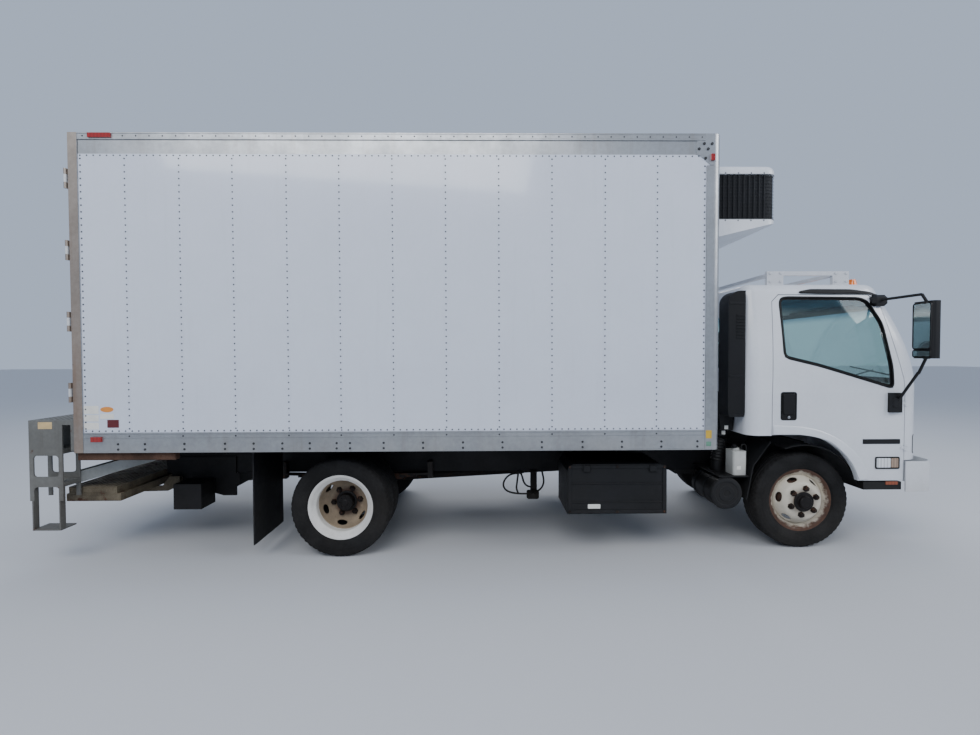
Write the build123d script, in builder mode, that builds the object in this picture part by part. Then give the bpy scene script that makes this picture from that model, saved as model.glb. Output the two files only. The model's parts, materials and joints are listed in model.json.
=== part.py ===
from build123d import *
from math import cos, radians, sin
import os

os.makedirs("parts", exist_ok=True)

# Refrigerated truck, in millimetres. +X is forward, +Y the truck's left, +Z up.
# The origin is on the ground under the middle of the bounding box.
SIDES = (("left", 1), ("right", -1))

# Axles and the ends of the truck
wheelbase = 3815
nose_overhang = 1100
tail_overhang = 6150
front_axle_x = (tail_overhang - nose_overhang) / 2
rear_axle_x = front_axle_x - wheelbase

# Gaps that the whole truck shares
seat_gap = 0.3
bearing_gap = 0.05
door_gap = 6

# Wheels
tyre_radius = 400
tyre_width = 226
bead_radius = 248
rim_half_width = 76
flange_radius = 264
well_radius = 216
rim_wall = 8
sidewall_radius = 322
wheel_sides = 40
shoulder_radius = 380
wheel_offset = 130
disc_wall = 11
axle_z = tyre_radius
front_track = 1665
rear_track = 1650
kingpin_y = 740
drum_radius = 165
drum_wall = 14
front_spindle_radius = 30
rear_spindle_radius = 45

# Frame
frame_half_width = 425
rail_bottom = 550
rail_height = 220
rail_flange = 65
rail_wall = 8
rail_front_x = front_axle_x + 835
rail_rear_x = front_axle_x - 5580
crossmember_bottom = 630
crossmember_height = 120
crossmember_width = 70

# Insulated body
body_rear_x = front_axle_x - 5790
body_front_x = front_axle_x - 822
body_half_width = 1219
body_bottom = 886
body_top = 3317
body_wall = 60
panel_recess = 5
rear_frame_depth = 70
floor_top = 1136
floor_bottom = 905
top_rail_height = 160
top_rail_lip = 48
bottom_rail_height = 155
corner_radius = 55
roof_thickness = 75

# Cab
cab_rear_x = front_axle_x - 500
cab_bottom = 586
cab_waist = 1310
cab_roof = 2215
cab_wall = 40
cab_roof_radius = 85
cab_rear_radius = 100
chin_x = front_axle_x + 782
chin_z = 757
glass_depth = 10
glass_wall = 6
cab_pivot_x = front_axle_x + 880
cab_pivot_z = 740
cab_pivot_radius = 20
door_hinge_x = chin_x + door_gap / 2
door_hinge_y = 1034
door_hinge_heights = (860, 1225)
door_hinge_reach = 25
door_hinge_radius = 8
door_knuckle = 14
door_pin_radius = 4
door_hinge_play = 0.5

# Liftgate
lift_pivot_x = front_axle_x - 5450
lift_pivot_z = 500
lift_shaft_radius = 22
cylinder_pivot_x = front_axle_x - 5000
cylinder_pivot_z = 400
crank_radius = 150
eye_radius = 12


def ahead(distance):
    """Place along X from a distance ahead of the front axle."""
    return front_axle_x + distance


def side_plane(y):
    """Plane across Y whose sketch axes are X and Z and whose normal is -Y."""
    return Plane(origin=(0, y, 0), x_dir=(1, 0, 0), z_dir=(0, -1, 0))


def slab(x_span, y_span, z_span, mode=Mode.ADD):
    """Add or cut the box that fills three spans."""
    spans = [sorted(span) for span in (x_span, y_span, z_span)]
    with Locations(tuple(sum(span) / 2 for span in spans)):
        Box(*[high - low for low, high in spans], mode=mode)


def rod(start, end, radius, mode=Mode.ADD):
    """Add or cut a round bar between two points."""
    line = Vector(*end) - Vector(*start)
    with BuildSketch(Plane(origin=start, z_dir=line)) as section:
        Circle(radius)
    extrude(section.sketch, amount=line.length, mode=mode)


def save(piece, label):
    """Label a finished piece and write it as its own file."""
    piece.part.label = label
    export_step(piece.part, f"parts/{label}.step")


# Frame rails, C sections that open inwards
rail_top = rail_bottom + rail_height
for side, sign in SIDES:
    web_y = sign * frame_half_width
    with BuildPart() as frame_rail:
        slab((rail_rear_x, rail_front_x), (web_y, web_y - sign * rail_wall), (rail_bottom, rail_top))
        for flange_z in (rail_bottom, rail_top - rail_wall):
            slab(
                (rail_rear_x, rail_front_x),
                (web_y, web_y - sign * rail_flange),
                (flange_z, flange_z + rail_wall),
            )
    save(frame_rail, f"frame_rail_{side}")

# Crossmembers, and the cab's pivot tube between brackets on the rail ends
pivot_plate = 16
pivot_y = 340
web_inside = frame_half_width - rail_wall
crossmember_places = (-5545, -4700, -3180, -2200, -1250, 600)
with BuildPart() as frame_crossmembers:
    for place in crossmember_places:
        middle = ahead(place)
        slab(
            (middle - crossmember_width / 2, middle + crossmember_width / 2),
            (-web_inside, web_inside),
            (crossmember_bottom, crossmember_bottom + crossmember_height),
        )
    for side, sign in SIDES:
        web_y = sign * frame_half_width
        slab(
            (rail_front_x - 120, cab_pivot_x + 45),
            (web_y + sign * seat_gap, web_y + sign * (pivot_plate + seat_gap)),
            (rail_bottom + 20, cab_pivot_z + 45),
        )
    rod(
        (cab_pivot_x, -frame_half_width - pivot_plate, cab_pivot_z),
        (cab_pivot_x, frame_half_width + pivot_plate, cab_pivot_z),
        cab_pivot_radius,
    )
save(frame_crossmembers, "frame_crossmembers")

# Engine, one block with feet on the rails' lower flanges
engine_half_width = 250
engine_rear_x = ahead(-800)
with BuildPart() as engine_block:
    slab((engine_rear_x, ahead(180)), (-engine_half_width, engine_half_width), (470, 960))
    for foot_x in (-700, 0):
        for side, sign in SIDES:
            slab(
                (ahead(foot_x - 50), ahead(foot_x + 50)),
                (sign * (engine_half_width - 10), sign * (web_inside - seat_gap)),
                (rail_bottom + rail_wall + seat_gap, rail_bottom + 60),
            )
save(engine_block, "engine_block")

# Propeller shaft from the engine to the rear axle
shaft_radius = 40
yoke_radius = 62
shaft_front = (engine_rear_x - seat_gap, 0, 545)
shaft_rear = (rear_axle_x + 190 + seat_gap, 0, axle_z)
with BuildPart() as drive_shaft:
    rod(shaft_front, (shaft_front[0] - 45, 0, shaft_front[2]), yoke_radius)
    rod((shaft_rear[0] + 45, 0, axle_z), shaft_rear, yoke_radius)
    rod((shaft_front[0] - 30, 0, shaft_front[2]), (shaft_rear[0] + 30, 0, axle_z), shaft_radius)
save(drive_shaft, "drive_shaft")

# Tanks and boxes hung on the rails
with BuildPart() as fuel_tank:
    with BuildSketch(Plane.YZ.offset(ahead(-2150))):
        with Locations((790, 545)):
            RectangleRounded(500, 350, 70)
    extrude(amount=1000)
    for strap_x in (-1950, -1350):
        slab((ahead(strap_x - 25), ahead(strap_x + 25)), (frame_half_width + seat_gap, 560), (600, 700))
save(fuel_tank, "fuel_tank")

box_face_y = -1100
box_back_y = -620
with BuildPart() as battery_box:
    with BuildSketch(side_plane(box_back_y)):
        with BuildLine():
            Polyline(
                (ahead(-1990), 352),
                (ahead(-1990), 700),
                (ahead(-1945), 752),
                (ahead(-1240), 752),
                (ahead(-1192), 700),
                (ahead(-1192), 352),
                close=True,
            )
        make_face()
    extrude(amount=box_back_y - box_face_y)
    for strap_x in (-1850, -1350):
        slab(
            (ahead(strap_x - 25), ahead(strap_x + 25)),
            (-frame_half_width - seat_gap, box_back_y - 20),
            (600, 700),
        )
save(battery_box, "battery_box")

# Air cleaner drum with its shelf, inlet neck and the coolant tank on the shelf
cleaner_x = ahead(-640)
cleaner_z = 470
cleaner_radius = 128
shelf_bottom = 604
shelf_top = 614
duct_y = -705
duct_radius = 52
duct_foot_x = ahead(-608)
duct_foot_z = 690
neck_top = 893
neck_x = ahead(-575)
with BuildPart() as air_cleaner:
    rod((cleaner_x, -960, cleaner_z), (cleaner_x, -560, cleaner_z), cleaner_radius)
    slab((cleaner_x - 60, ahead(-450)), (-950, -frame_half_width - seat_gap), (shelf_bottom, shelf_top))
    slab((cleaner_x - 30, cleaner_x + 30), (-900, -620), (cleaner_z + 110, shelf_top - 5))
    rod((duct_foot_x, duct_y, cleaner_z + 60), (duct_foot_x, duct_y, duct_foot_z), duct_radius)
    rod((duct_foot_x, duct_y, duct_foot_z - 20), (neck_x, duct_y, neck_top), duct_radius)
save(air_cleaner, "air_cleaner")

with BuildPart() as coolant_tank:
    with BuildSketch(Plane.XY.offset(shelf_top + seat_gap)):
        with Locations((ahead(-512), -850)):
            RectangleRounded(115, 150, 20)
    extrude(amount=200)
    with Locations((ahead(-512), -850, shelf_top + seat_gap + 210)):
        Cylinder(28, 20)
save(coolant_tank, "coolant_tank")

with BuildPart() as exhaust_muffler:
    rod((ahead(-3000), 640, 450), (ahead(-2350), 640, 450), 105)
    rod((ahead(-2352), 640, 450), (ahead(-2280), 640, 450), 32)
    for strap_x in (-2850, -2500):
        slab((ahead(strap_x - 15), ahead(strap_x + 15)), (frame_half_width + seat_gap, 650), (535, 620))
save(exhaust_muffler, "exhaust_muffler")

# Axles
beam_half_depth = 45
beam_pad_top = 423.7
eye_bottom = 350
eye_top = 450
kingpin_radius = 18
with BuildPart() as front_axle_beam:
    with BuildSketch(Plane.YZ.offset(front_axle_x - beam_half_depth)):
        with BuildLine():
            Polyline(
                (-705, 357),
                (-450, 335),
                (450, 335),
                (705, 357),
                (705, 440),
                (450, beam_pad_top),
                (-450, beam_pad_top),
                (-705, 440),
                close=True,
            )
        make_face()
    extrude(amount=2 * beam_half_depth)
    for side, sign in SIDES:
        centre = (front_axle_x, sign * kingpin_y)
        rod((*centre, eye_bottom), (*centre, eye_top), 40)
        rod((*centre, eye_bottom), (*centre, eye_top), kingpin_radius + bearing_gap, Mode.SUBTRACT)
save(front_axle_beam, "front_axle_beam")

differential_radius = 185
rear_tube_radius = 62
rear_seat_y = 465
rear_seat_top = 462
with BuildPart() as rear_axle_housing:
    rod((rear_axle_x, -575, axle_z), (rear_axle_x, 575, axle_z), rear_tube_radius)
    rod((rear_axle_x, -849, axle_z), (rear_axle_x, 849, axle_z), rear_spindle_radius)
    with BuildSketch(Plane.YZ.offset(rear_axle_x)):
        with BuildLine():
            Polyline(
                (-230, axle_z),
                (-230, axle_z + rear_tube_radius),
                (-90, axle_z + differential_radius),
                (90, axle_z + differential_radius),
                (230, axle_z + rear_tube_radius),
                (230, axle_z),
                close=True,
            )
        make_face()
    revolve(axis=Axis((rear_axle_x, 0, axle_z), (0, 1, 0)))
    rod((rear_axle_x, 0, axle_z), (rear_axle_x + 190, 0, axle_z), 70)
    for side, sign in SIDES:
        slab(
            (rear_axle_x - 55, rear_axle_x + 55),
            (sign * (rear_seat_y - 33), sign * (rear_seat_y + 33)),
            (axle_z, rear_seat_top),
        )
save(rear_axle_housing, "rear_axle_housing")


def leaf_spring(x, y, width, half_length, top_z, eye_z, leaf, leaves):
    """Add one spring pack: a full main leaf over shorter leaves, with eyes at its ends."""
    rise = eye_z - top_z
    for number in range(leaves):
        reach = half_length * (1 - 0.19 * number)
        end_rise = rise * (reach / half_length) ** 2
        high = top_z - number * leaf
        low = high - leaf - (1 if number < leaves - 1 else 0)
        with BuildSketch(side_plane(y + width / 2)) as strip:
            with BuildLine():
                upper = ThreePointArc(
                    (x - reach, high + end_rise), (x, high), (x + reach, high + end_rise)
                )
                Line(upper @ 1, (x + reach, low + end_rise))
                ThreePointArc((x + reach, low + end_rise), (x, low), (x - reach, low + end_rise))
                Line((x - reach, low + end_rise), upper @ 0)
            make_face()
        extrude(strip.sketch, amount=width)
    for end in (-half_length, half_length):
        rod((x + end, y - width / 2, eye_z - leaf / 2), (x + end, y + width / 2, eye_z - leaf / 2), 24)


front_spring_y = 392
rear_leaf = 16
rear_leaves = 5
rear_spring_top = rear_seat_top + seat_gap + rear_leaf * rear_leaves
with BuildPart() as leaf_springs:
    for side, sign in SIDES:
        leaf_spring(front_axle_x, sign * front_spring_y, 60, 640, 480, 515, 14, 4)
        for end in (-640, 640):
            slab(
                (front_axle_x + end - 20, front_axle_x + end + 20),
                (sign * (front_spring_y - 30), sign * (front_spring_y + 30)),
                (512, rail_bottom),
            )
        leaf_spring(
            rear_axle_x, sign * rear_seat_y, 60, 665, rear_spring_top, rear_spring_top + 8, rear_leaf, rear_leaves
        )
        for end in (-665, 665):
            slab(
                (rear_axle_x + end - 22, rear_axle_x + end + 22),
                (sign * frame_half_width, sign * (rear_seat_y + 30)),
                (rear_spring_top - 40, rear_spring_top + 110),
            )
save(leaf_springs, "leaf_springs")


# Wheels
def wheel_plane(x, y, outward):
    """Section plane of a wheel: first axis points outwards, second up, origin at its centre."""
    return Plane(origin=(x, y, axle_z), x_dir=(0, outward, 0), z_dir=(outward, 0, 0))


def spin(section, x):
    """Revolve a wheel section about the axle."""
    revolve(section.sketch, axis=Axis((x, 0, axle_z), (0, 1, 0)))


def rim_and_disc(x, y, outward, dish):
    """Add a rim and its disc. A dish of 1 bulges outwards and -1 inwards."""
    inner_well = well_radius - rim_wall
    with BuildSketch(wheel_plane(x, y, outward)) as barrel:
        with BuildLine():
            Polyline(
                (-86, flange_radius),
                (-rim_half_width, bead_radius),
                (-50, bead_radius),
                (-38, well_radius),
                (38, well_radius),
                (50, bead_radius),
                (rim_half_width, bead_radius),
                (86, flange_radius),
                (86, flange_radius - rim_wall),
                (80, bead_radius - rim_wall),
                (44, inner_well),
                (-44, inner_well),
                (-80, bead_radius - rim_wall),
                (-86, flange_radius - rim_wall),
                (-86, flange_radius),
            )
        make_face()
    spin(barrel, x)
    face = wheel_offset
    with BuildSketch(wheel_plane(x, y, outward * dish)) as disc:
        with BuildLine():
            Polyline(
                (18, inner_well + 3),
                (60, inner_well - 18),
                (face - 26, 168),
                (face, 140),
                (face, 60),
                (face - disc_wall, 60),
                (face - disc_wall, 134),
                (face - 36, 160),
                (52, inner_well - 30),
                (8, inner_well + 3),
                close=True,
            )
        make_face()
    spin(disc, x)


# One tyre with flat shoulders and hollow cones down to its beads, placed six times.
# It is a many-sided ring: each side has one flat face for each line of the section.
half_tyre = tyre_width / 2
tyre_bead = bead_radius + seat_gap
shoulder_step = 6
tread_step = 32
tyre_section = (
    (-half_tyre, sidewall_radius),
    (shoulder_step - half_tyre, shoulder_radius),
    (tread_step - half_tyre, tyre_radius),
    (half_tyre - tread_step, tyre_radius),
    (half_tyre - shoulder_step, shoulder_radius),
    (half_tyre, sidewall_radius),
    (rim_half_width, tyre_bead),
    (-rim_half_width, tyre_bead),
)
half_side = radians(180 / wheel_sides)
tyre_faces = []
for number in range(wheel_sides):
    turns = (2 * number * half_side - half_side, 2 * number * half_side + half_side)
    for first, second in zip(tyre_section, tyre_section[1:] + tyre_section[:1]):
        corners = [
            (radius / cos(half_side) * sin(turn), place, radius / cos(half_side) * cos(turn))
            for place, radius, turn in (
                (*first, turns[0]),
                (*first, turns[1]),
                (*second, turns[1]),
                (*second, turns[0]),
            )
        ]
        tyre_faces.append(Face(Wire.make_polygon(corners)))
one_tyre = Solid(Shell(tyre_faces))


def tyre(x, y):
    """Add one copy of the tyre."""
    add(one_tyre.moved(Location((x, y, axle_z))))


def brake_drum(x, sign, inner_y, outer_y):
    """Add a brake drum that is closed at its outer end."""
    rod((x, sign * inner_y, axle_z), (x, sign * outer_y, axle_z), drum_radius)
    rod(
        (x, sign * inner_y, axle_z),
        (x, sign * (outer_y - drum_wall), axle_z),
        drum_radius - drum_wall,
        Mode.SUBTRACT,
    )


hand_hole_radius = 26
hand_hole_circle = 176
front_wheel_y = front_track / 2
front_face_y = front_wheel_y + wheel_offset
front_bore_end = 936
for side, sign in SIDES:
    with BuildPart() as front_rim:
        brake_drum(front_axle_x, sign, 825, 905)
        rim_and_disc(front_axle_x, sign * front_wheel_y, sign, 1)
        rod((front_axle_x, sign * 822, axle_z), (front_axle_x, sign * (front_face_y + 8), axle_z), 80)
        rod((front_axle_x, sign * front_face_y, axle_z), (front_axle_x, sign * 1008, axle_z), 48)
        with Locations(Plane(origin=(front_axle_x, sign * 900, axle_z), z_dir=(0, sign, 0))):
            with PolarLocations(hand_hole_circle, 6):
                Cylinder(hand_hole_radius, 260, mode=Mode.SUBTRACT)
        rod(
            (front_axle_x, sign * 800, axle_z),
            (front_axle_x, sign * front_bore_end, axle_z),
            front_spindle_radius + bearing_gap,
            Mode.SUBTRACT,
        )
    save(front_rim, f"front_rim_{side}")
    with BuildPart() as front_tyre:
        tyre(front_axle_x, sign * front_wheel_y)
    save(front_tyre, f"front_tyre_{side}")

disc_face_y = rear_track / 2
rear_wheel_places = (disc_face_y - wheel_offset, disc_face_y + wheel_offset)
for side, sign in SIDES:
    with BuildPart() as rear_rims:
        brake_drum(rear_axle_x, sign, 600, 700)
        rim_and_disc(rear_axle_x, sign * rear_wheel_places[0], sign, 1)
        rim_and_disc(rear_axle_x, sign * rear_wheel_places[1], sign, -1)
        rod((rear_axle_x, sign * 640, axle_z), (rear_axle_x, sign * 850, axle_z), 84)
        rod((rear_axle_x, sign * 849, axle_z), (rear_axle_x, sign * 915, axle_z), 66)
        with Locations(Plane(origin=(rear_axle_x, sign * 850, axle_z), z_dir=(0, sign, 0))):
            with PolarLocations(hand_hole_circle, 6):
                Cylinder(hand_hole_radius, 180, mode=Mode.SUBTRACT)
        rod(
            (rear_axle_x, sign * 580, axle_z),
            (rear_axle_x, sign * 850, axle_z),
            rear_spindle_radius + bearing_gap,
            Mode.SUBTRACT,
        )
    save(rear_rims, f"rear_rims_{side}")
    with BuildPart() as rear_tyres:
        for place in rear_wheel_places:
            tyre(rear_axle_x, sign * place)
    save(rear_tyres, f"rear_tyres_{side}")

# Steering knuckles, forks on the beam's eyes with the wheel spindles
lug_gap = 0.5
for side, sign in SIDES:
    with BuildPart() as knuckle:
        centre = (front_axle_x, sign * kingpin_y)
        rod((*centre, 312), (*centre, 488), kingpin_radius)
        for low, high in ((312, eye_bottom - lug_gap), (eye_top + lug_gap, 488)):
            rod((*centre, low), (*centre, high), 36)
            slab((front_axle_x - 36, front_axle_x + 36), (sign * kingpin_y, sign * 792), (low, high))
        slab((front_axle_x - 55, front_axle_x + 55), (sign * 786, sign * 812), (312, 488))
        rod((front_axle_x, sign * 810, axle_z), (front_axle_x, sign * 934, axle_z), front_spindle_radius)
        slab((front_axle_x - 160, front_axle_x), (sign * 735, sign * 765), (315, 335))
    save(knuckle, f"knuckle_{side}")

# Mudguards behind the front wheels and flaps behind the rear ones
flap_top = floor_bottom - seat_gap
with BuildPart() as mudguards:
    for side, sign in SIDES:
        guard_y = 962 if sign > 0 else -620
        with BuildSketch(side_plane(guard_y)):
            with BuildLine():
                Polyline(
                    (ahead(-270), 900),
                    (ahead(-415), 700),
                    (ahead(-470), 420),
                    (ahead(-478), 420),
                    (ahead(-423), 703),
                    (ahead(-280), 900),
                    close=True,
                )
            make_face()
        extrude(amount=342)
        slab((ahead(-440), ahead(-405)), (sign * (frame_half_width + seat_gap), sign * 640), (690, 702))
        slab((ahead(-4490), ahead(-4480)), (sign * 520, sign * 1100), (120, flap_top))
save(mudguards, "mudguards")

# Insulated body: floor on two sills, walls, roof, rails and corner posts
inside_y = body_half_width - body_wall
wall_rear_x = body_rear_x + rear_frame_depth
wall_front_x = body_front_x - body_wall
rail_inner_z = body_bottom + bottom_rail_height
top_rail_bottom = body_top - top_rail_height
with BuildPart() as cargo_floor:
    slab((wall_rear_x, wall_front_x), (-inside_y, inside_y), (floor_bottom, floor_top))
    for side, sign in SIDES:
        slab(
            (body_rear_x + 20, body_front_x - 85),
            (sign * frame_half_width, sign * (frame_half_width - rail_flange)),
            (rail_top, floor_bottom),
        )
save(cargo_floor, "cargo_floor")

for side, sign in SIDES:
    outer_y = sign * body_half_width
    with BuildPart() as cargo_side:
        slab(
            (wall_rear_x, wall_front_x),
            (outer_y - sign * panel_recess, sign * inside_y),
            (rail_inner_z, top_rail_bottom),
        )
    save(cargo_side, f"cargo_side_{side}")
    with BuildPart() as body_frame:
        slab((wall_rear_x, wall_front_x), (outer_y, sign * inside_y), (body_bottom, rail_inner_z))
        slab((wall_rear_x, wall_front_x), (outer_y, sign * inside_y), (top_rail_bottom, body_top))
        slab(
            (wall_rear_x, wall_front_x),
            (outer_y, outer_y - sign * panel_recess),
            (body_top - top_rail_lip, top_rail_bottom),
            Mode.SUBTRACT,
        )
        with BuildSketch(Plane.XY.offset(body_bottom)):
            with BuildLine():
                Line((wall_front_x, outer_y), (body_front_x - corner_radius, outer_y))
                ThreePointArc(
                    (body_front_x - corner_radius, outer_y),
                    (
                        body_front_x - corner_radius * (1 - cos(radians(45))),
                        outer_y - sign * corner_radius * (1 - sin(radians(45))),
                    ),
                    (body_front_x, outer_y - sign * corner_radius),
                )
                Line((body_front_x, outer_y - sign * corner_radius), (body_front_x, sign * inside_y))
                Line((body_front_x, sign * inside_y), (wall_front_x, sign * inside_y))
                Line((wall_front_x, sign * inside_y), (wall_front_x, outer_y))
            make_face()
        extrude(amount=body_top - body_bottom)
        with BuildSketch(side_plane(max(outer_y, outer_y - sign * panel_recess))):
            with BuildLine():
                Polyline(
                    (wall_front_x, body_top - top_rail_lip),
                    (ahead(-1016), body_top - top_rail_lip),
                    (ahead(-1016), top_rail_bottom),
                    (ahead(-990), 3148),
                    (ahead(-908), 3078),
                    (wall_front_x, 3078),
                    close=True,
                )
            make_face()
        extrude(amount=panel_recess)
    save(body_frame, f"body_frame_{side}")

with BuildPart() as cargo_front_wall:
    slab((wall_front_x, body_front_x - panel_recess), (-inside_y, inside_y), (floor_bottom, body_top - 20))
save(cargo_front_wall, "cargo_front_wall")

with BuildPart() as cargo_roof:
    slab((wall_rear_x, wall_front_x), (-inside_y, inside_y), (body_top - 10 - roof_thickness, body_top - 10))
save(cargo_roof, "cargo_roof")

post_width = 59
hinge_x = body_rear_x - 16
hinge_stand_off = 6
hinge_radius = 10
hinge_leaf = 8
pin_radius = 5
strap_length = 60
knuckle_length = 44
hinge_heights = (1350, 1890, 2430, 2970)
sill_top = 1150
header_bottom = body_top - 100
with BuildPart() as rear_frame:
    slab((body_rear_x, wall_rear_x), (-body_half_width, body_half_width), (body_bottom, body_top))
    slab(
        (body_rear_x, wall_rear_x),
        (post_width - body_half_width, body_half_width - post_width),
        (sill_top, header_bottom),
        Mode.SUBTRACT,
    )
    slab(
        (body_rear_x, wall_rear_x),
        (-frame_half_width, frame_half_width),
        (body_bottom, floor_bottom),
        Mode.SUBTRACT,
    )
    for side, sign in SIDES:
        hinge_y = sign * (body_half_width + hinge_stand_off)
        for z in hinge_heights:
            rod((hinge_x, hinge_y, z - 75), (hinge_x, hinge_y, z + 75), pin_radius)
            for low in (z - 75, z + 75 - knuckle_length):
                high = low + knuckle_length
                rod((hinge_x, hinge_y, low), (hinge_x, hinge_y, high), hinge_radius)
                slab((hinge_x, hinge_x + hinge_leaf), (hinge_y, hinge_y - sign * 45), (low, high))
                slab((hinge_x, body_rear_x), (hinge_y - sign * 15, hinge_y - sign * 45), (low, high))
save(rear_frame, "rear_frame")

# Rear doors with their straps and lock rods
door_thickness = 62
for side, sign in SIDES:
    hinge_y = sign * (body_half_width + hinge_stand_off)
    door_outer = sign * (body_half_width - post_width - door_gap)
    with BuildPart() as cargo_door:
        slab(
            (body_rear_x, body_rear_x + door_thickness),
            (sign * door_gap, door_outer),
            (sill_top + door_gap, header_bottom - door_gap),
        )
        for z in hinge_heights:
            low, high = z - strap_length / 2, z + strap_length / 2
            rod((hinge_x, hinge_y, low), (hinge_x, hinge_y, high), hinge_radius)
            slab((hinge_x, hinge_x + hinge_leaf), (hinge_y, door_outer - sign * 160), (low, high))
            slab((hinge_x, body_rear_x), (door_outer - sign * 10, door_outer - sign * 160), (low, high))
            rod(
                (hinge_x, hinge_y, low),
                (hinge_x, hinge_y, high),
                pin_radius + bearing_gap,
                Mode.SUBTRACT,
            )
        lock_y = sign * 150
        rod((body_rear_x - 16, lock_y, 1180), (body_rear_x - 16, lock_y, 3190), 11)
        for z in (1230, 1700, 2190, 2680, 3150):
            slab((body_rear_x - 20, body_rear_x), (lock_y - 28, lock_y + 28), (z - 22, z + 22))
        slab((body_rear_x - 24, body_rear_x - 10), (lock_y, lock_y + sign * 330), (1480, 1512))
        slab((body_rear_x - 20, body_rear_x), (lock_y + sign * 290, lock_y + sign * 320), (1476, 1516))
    save(cargo_door, f"cargo_door_{side}")

# Lamps on the body
lamp_height = 14
with BuildPart() as marker_lamps:
    for side, sign in SIDES:
        face_y = sign * body_half_width
        for x_low, x_high, z_low, z_high in (
            (-5630, -5460, 3275, 3308),
            (-5655, -5575, 972, 1010),
            (-910, -880, 3112, 3160),
        ):
            slab((ahead(x_low), ahead(x_high)), (face_y, face_y + sign * lamp_height), (z_low, z_high))
save(marker_lamps, "marker_lamps")

# Cooling unit on the nose
unit_rear_x = body_front_x - panel_recess
unit_front_x = ahead(-222)
unit_half_width = 940
unit_radius = 90
unit_bottom = 2560
unit_top = 3185
band_bottom = 2745
band_top = 3105
band_depth = 16


def unit_plan(inset, z):
    """Draw the cooling unit's plan: square at the body, rounded at the front."""
    front = unit_front_x - inset
    half = unit_half_width - inset
    corner = unit_radius - inset
    bend = corner * (1 - cos(radians(45)))
    with BuildSketch(Plane.XY.offset(z)) as plan:
        with BuildLine():
            Line((unit_rear_x, -half), (front - corner, -half))
            ThreePointArc((front - corner, -half), (front - bend, bend - half), (front, corner - half))
            Line((front, corner - half), (front, half - corner))
            ThreePointArc((front, half - corner), (front - bend, half - bend), (front - corner, half))
            Line((front - corner, half), (unit_rear_x, half))
            Line((unit_rear_x, half), (unit_rear_x, -half))
        make_face()
    return plan.sketch


unit_fillet = 55
with BuildPart() as reefer_housing:
    extrude(unit_plan(0, unit_bottom), amount=unit_top - unit_bottom)
    top_edges = reefer_housing.edges().group_by(Axis.Z)[-1].sort_by(Axis.X)[1:]
    fillet(top_edges, unit_fillet)
    with BuildSketch(side_plane(unit_half_width)):
        with BuildLine():
            Polyline(
                (unit_rear_x, unit_bottom),
                (unit_rear_x, unit_bottom + 10),
                (unit_front_x + 1, band_bottom - 30),
                (unit_front_x + 1, unit_bottom),
                close=True,
            )
        make_face()
    extrude(amount=2 * unit_half_width, mode=Mode.SUBTRACT)
    ring = unit_plan(-1, band_bottom) - unit_plan(band_depth, band_bottom)
    extrude(ring, amount=band_top - band_bottom, mode=Mode.SUBTRACT)
    slab((wall_front_x - 340, wall_front_x), (-700, 700), (2900, body_top - 10 - roof_thickness))
save(reefer_housing, "reefer_housing")

rib_pitch = 42
rib_width = 9
rib_depth = 8
rib_height = band_top - band_bottom - 2 * seat_gap
with BuildPart() as reefer_grille:
    ring_bottom = band_bottom + seat_gap
    ring = unit_plan(2 + rib_depth, ring_bottom) - unit_plan(band_depth - seat_gap, ring_bottom)
    extrude(ring, amount=rib_height)
    rib_z = ring_bottom + rib_height / 2
    front_ribs = int(2 * (unit_half_width - unit_radius) / rib_pitch)
    with Locations((unit_front_x - 2 - rib_depth / 2 - 0.5, 0, rib_z)):
        with GridLocations(1, rib_pitch, 1, front_ribs):
            Box(rib_depth + 1, rib_width, rib_height)
    side_length = unit_front_x - unit_radius - unit_rear_x
    side_ribs = int(side_length / rib_pitch)
    with Locations(((unit_rear_x + unit_front_x - unit_radius) / 2, 0, rib_z)):
        with GridLocations(rib_pitch, 2 * (unit_half_width - 2) - rib_depth - 1, side_ribs, 2):
            Box(rib_width, rib_depth + 1, rib_height)
save(reefer_grille, "reefer_grille")


# Cab: a rounded block set by plan sections at rising heights
class CabSection:
    """Plan of the cab at one height: front centre, half width, front corner radius and bow."""

    def __init__(self, z, front, half_width, corner, bow):
        self.z = z
        self.front = front_axle_x + front
        self.half_width = half_width
        self.corner = corner
        self.bow = bow


waist_section = CabSection(cab_waist, 1000, 1032, 180, 45)
middle_section = CabSection(1660, 975, 1000, 190, 55)
brow_section = CabSection(2010, 847, 942, 200, 60)
roof_section = CabSection(cab_roof, 745, 905, 200, 60)


def cab_plan(section, inset, z):
    """Draw one plan section of the cab, moved in by an inset."""
    rear = cab_rear_x + inset
    half = section.half_width - inset
    end = section.front - section.bow - inset
    corner = section.corner - inset
    back = cab_rear_radius - inset
    bend = corner * (1 - cos(radians(45)))
    back_bend = back * (1 - cos(radians(45)))
    with BuildSketch(Plane.XY.offset(z)) as plan:
        with BuildLine():
            Line((rear + back, -half), (end - corner, -half))
            ThreePointArc((end - corner, -half), (end - bend, bend - half), (end, corner - half))
            ThreePointArc((end, corner - half), (section.front - inset, 0), (end, half - corner))
            ThreePointArc((end, half - corner), (end - bend, half - bend), (end - corner, half))
            Line((end - corner, half), (rear + back, half))
            ThreePointArc((rear + back, half), (rear + back_bend, half - back_bend), (rear, half - back))
            Line((rear, half - back), (rear, back - half))
            ThreePointArc((rear, back - half), (rear + back_bend, back_bend - half), (rear + back, -half))
        make_face()
    return plan.sketch


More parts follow.
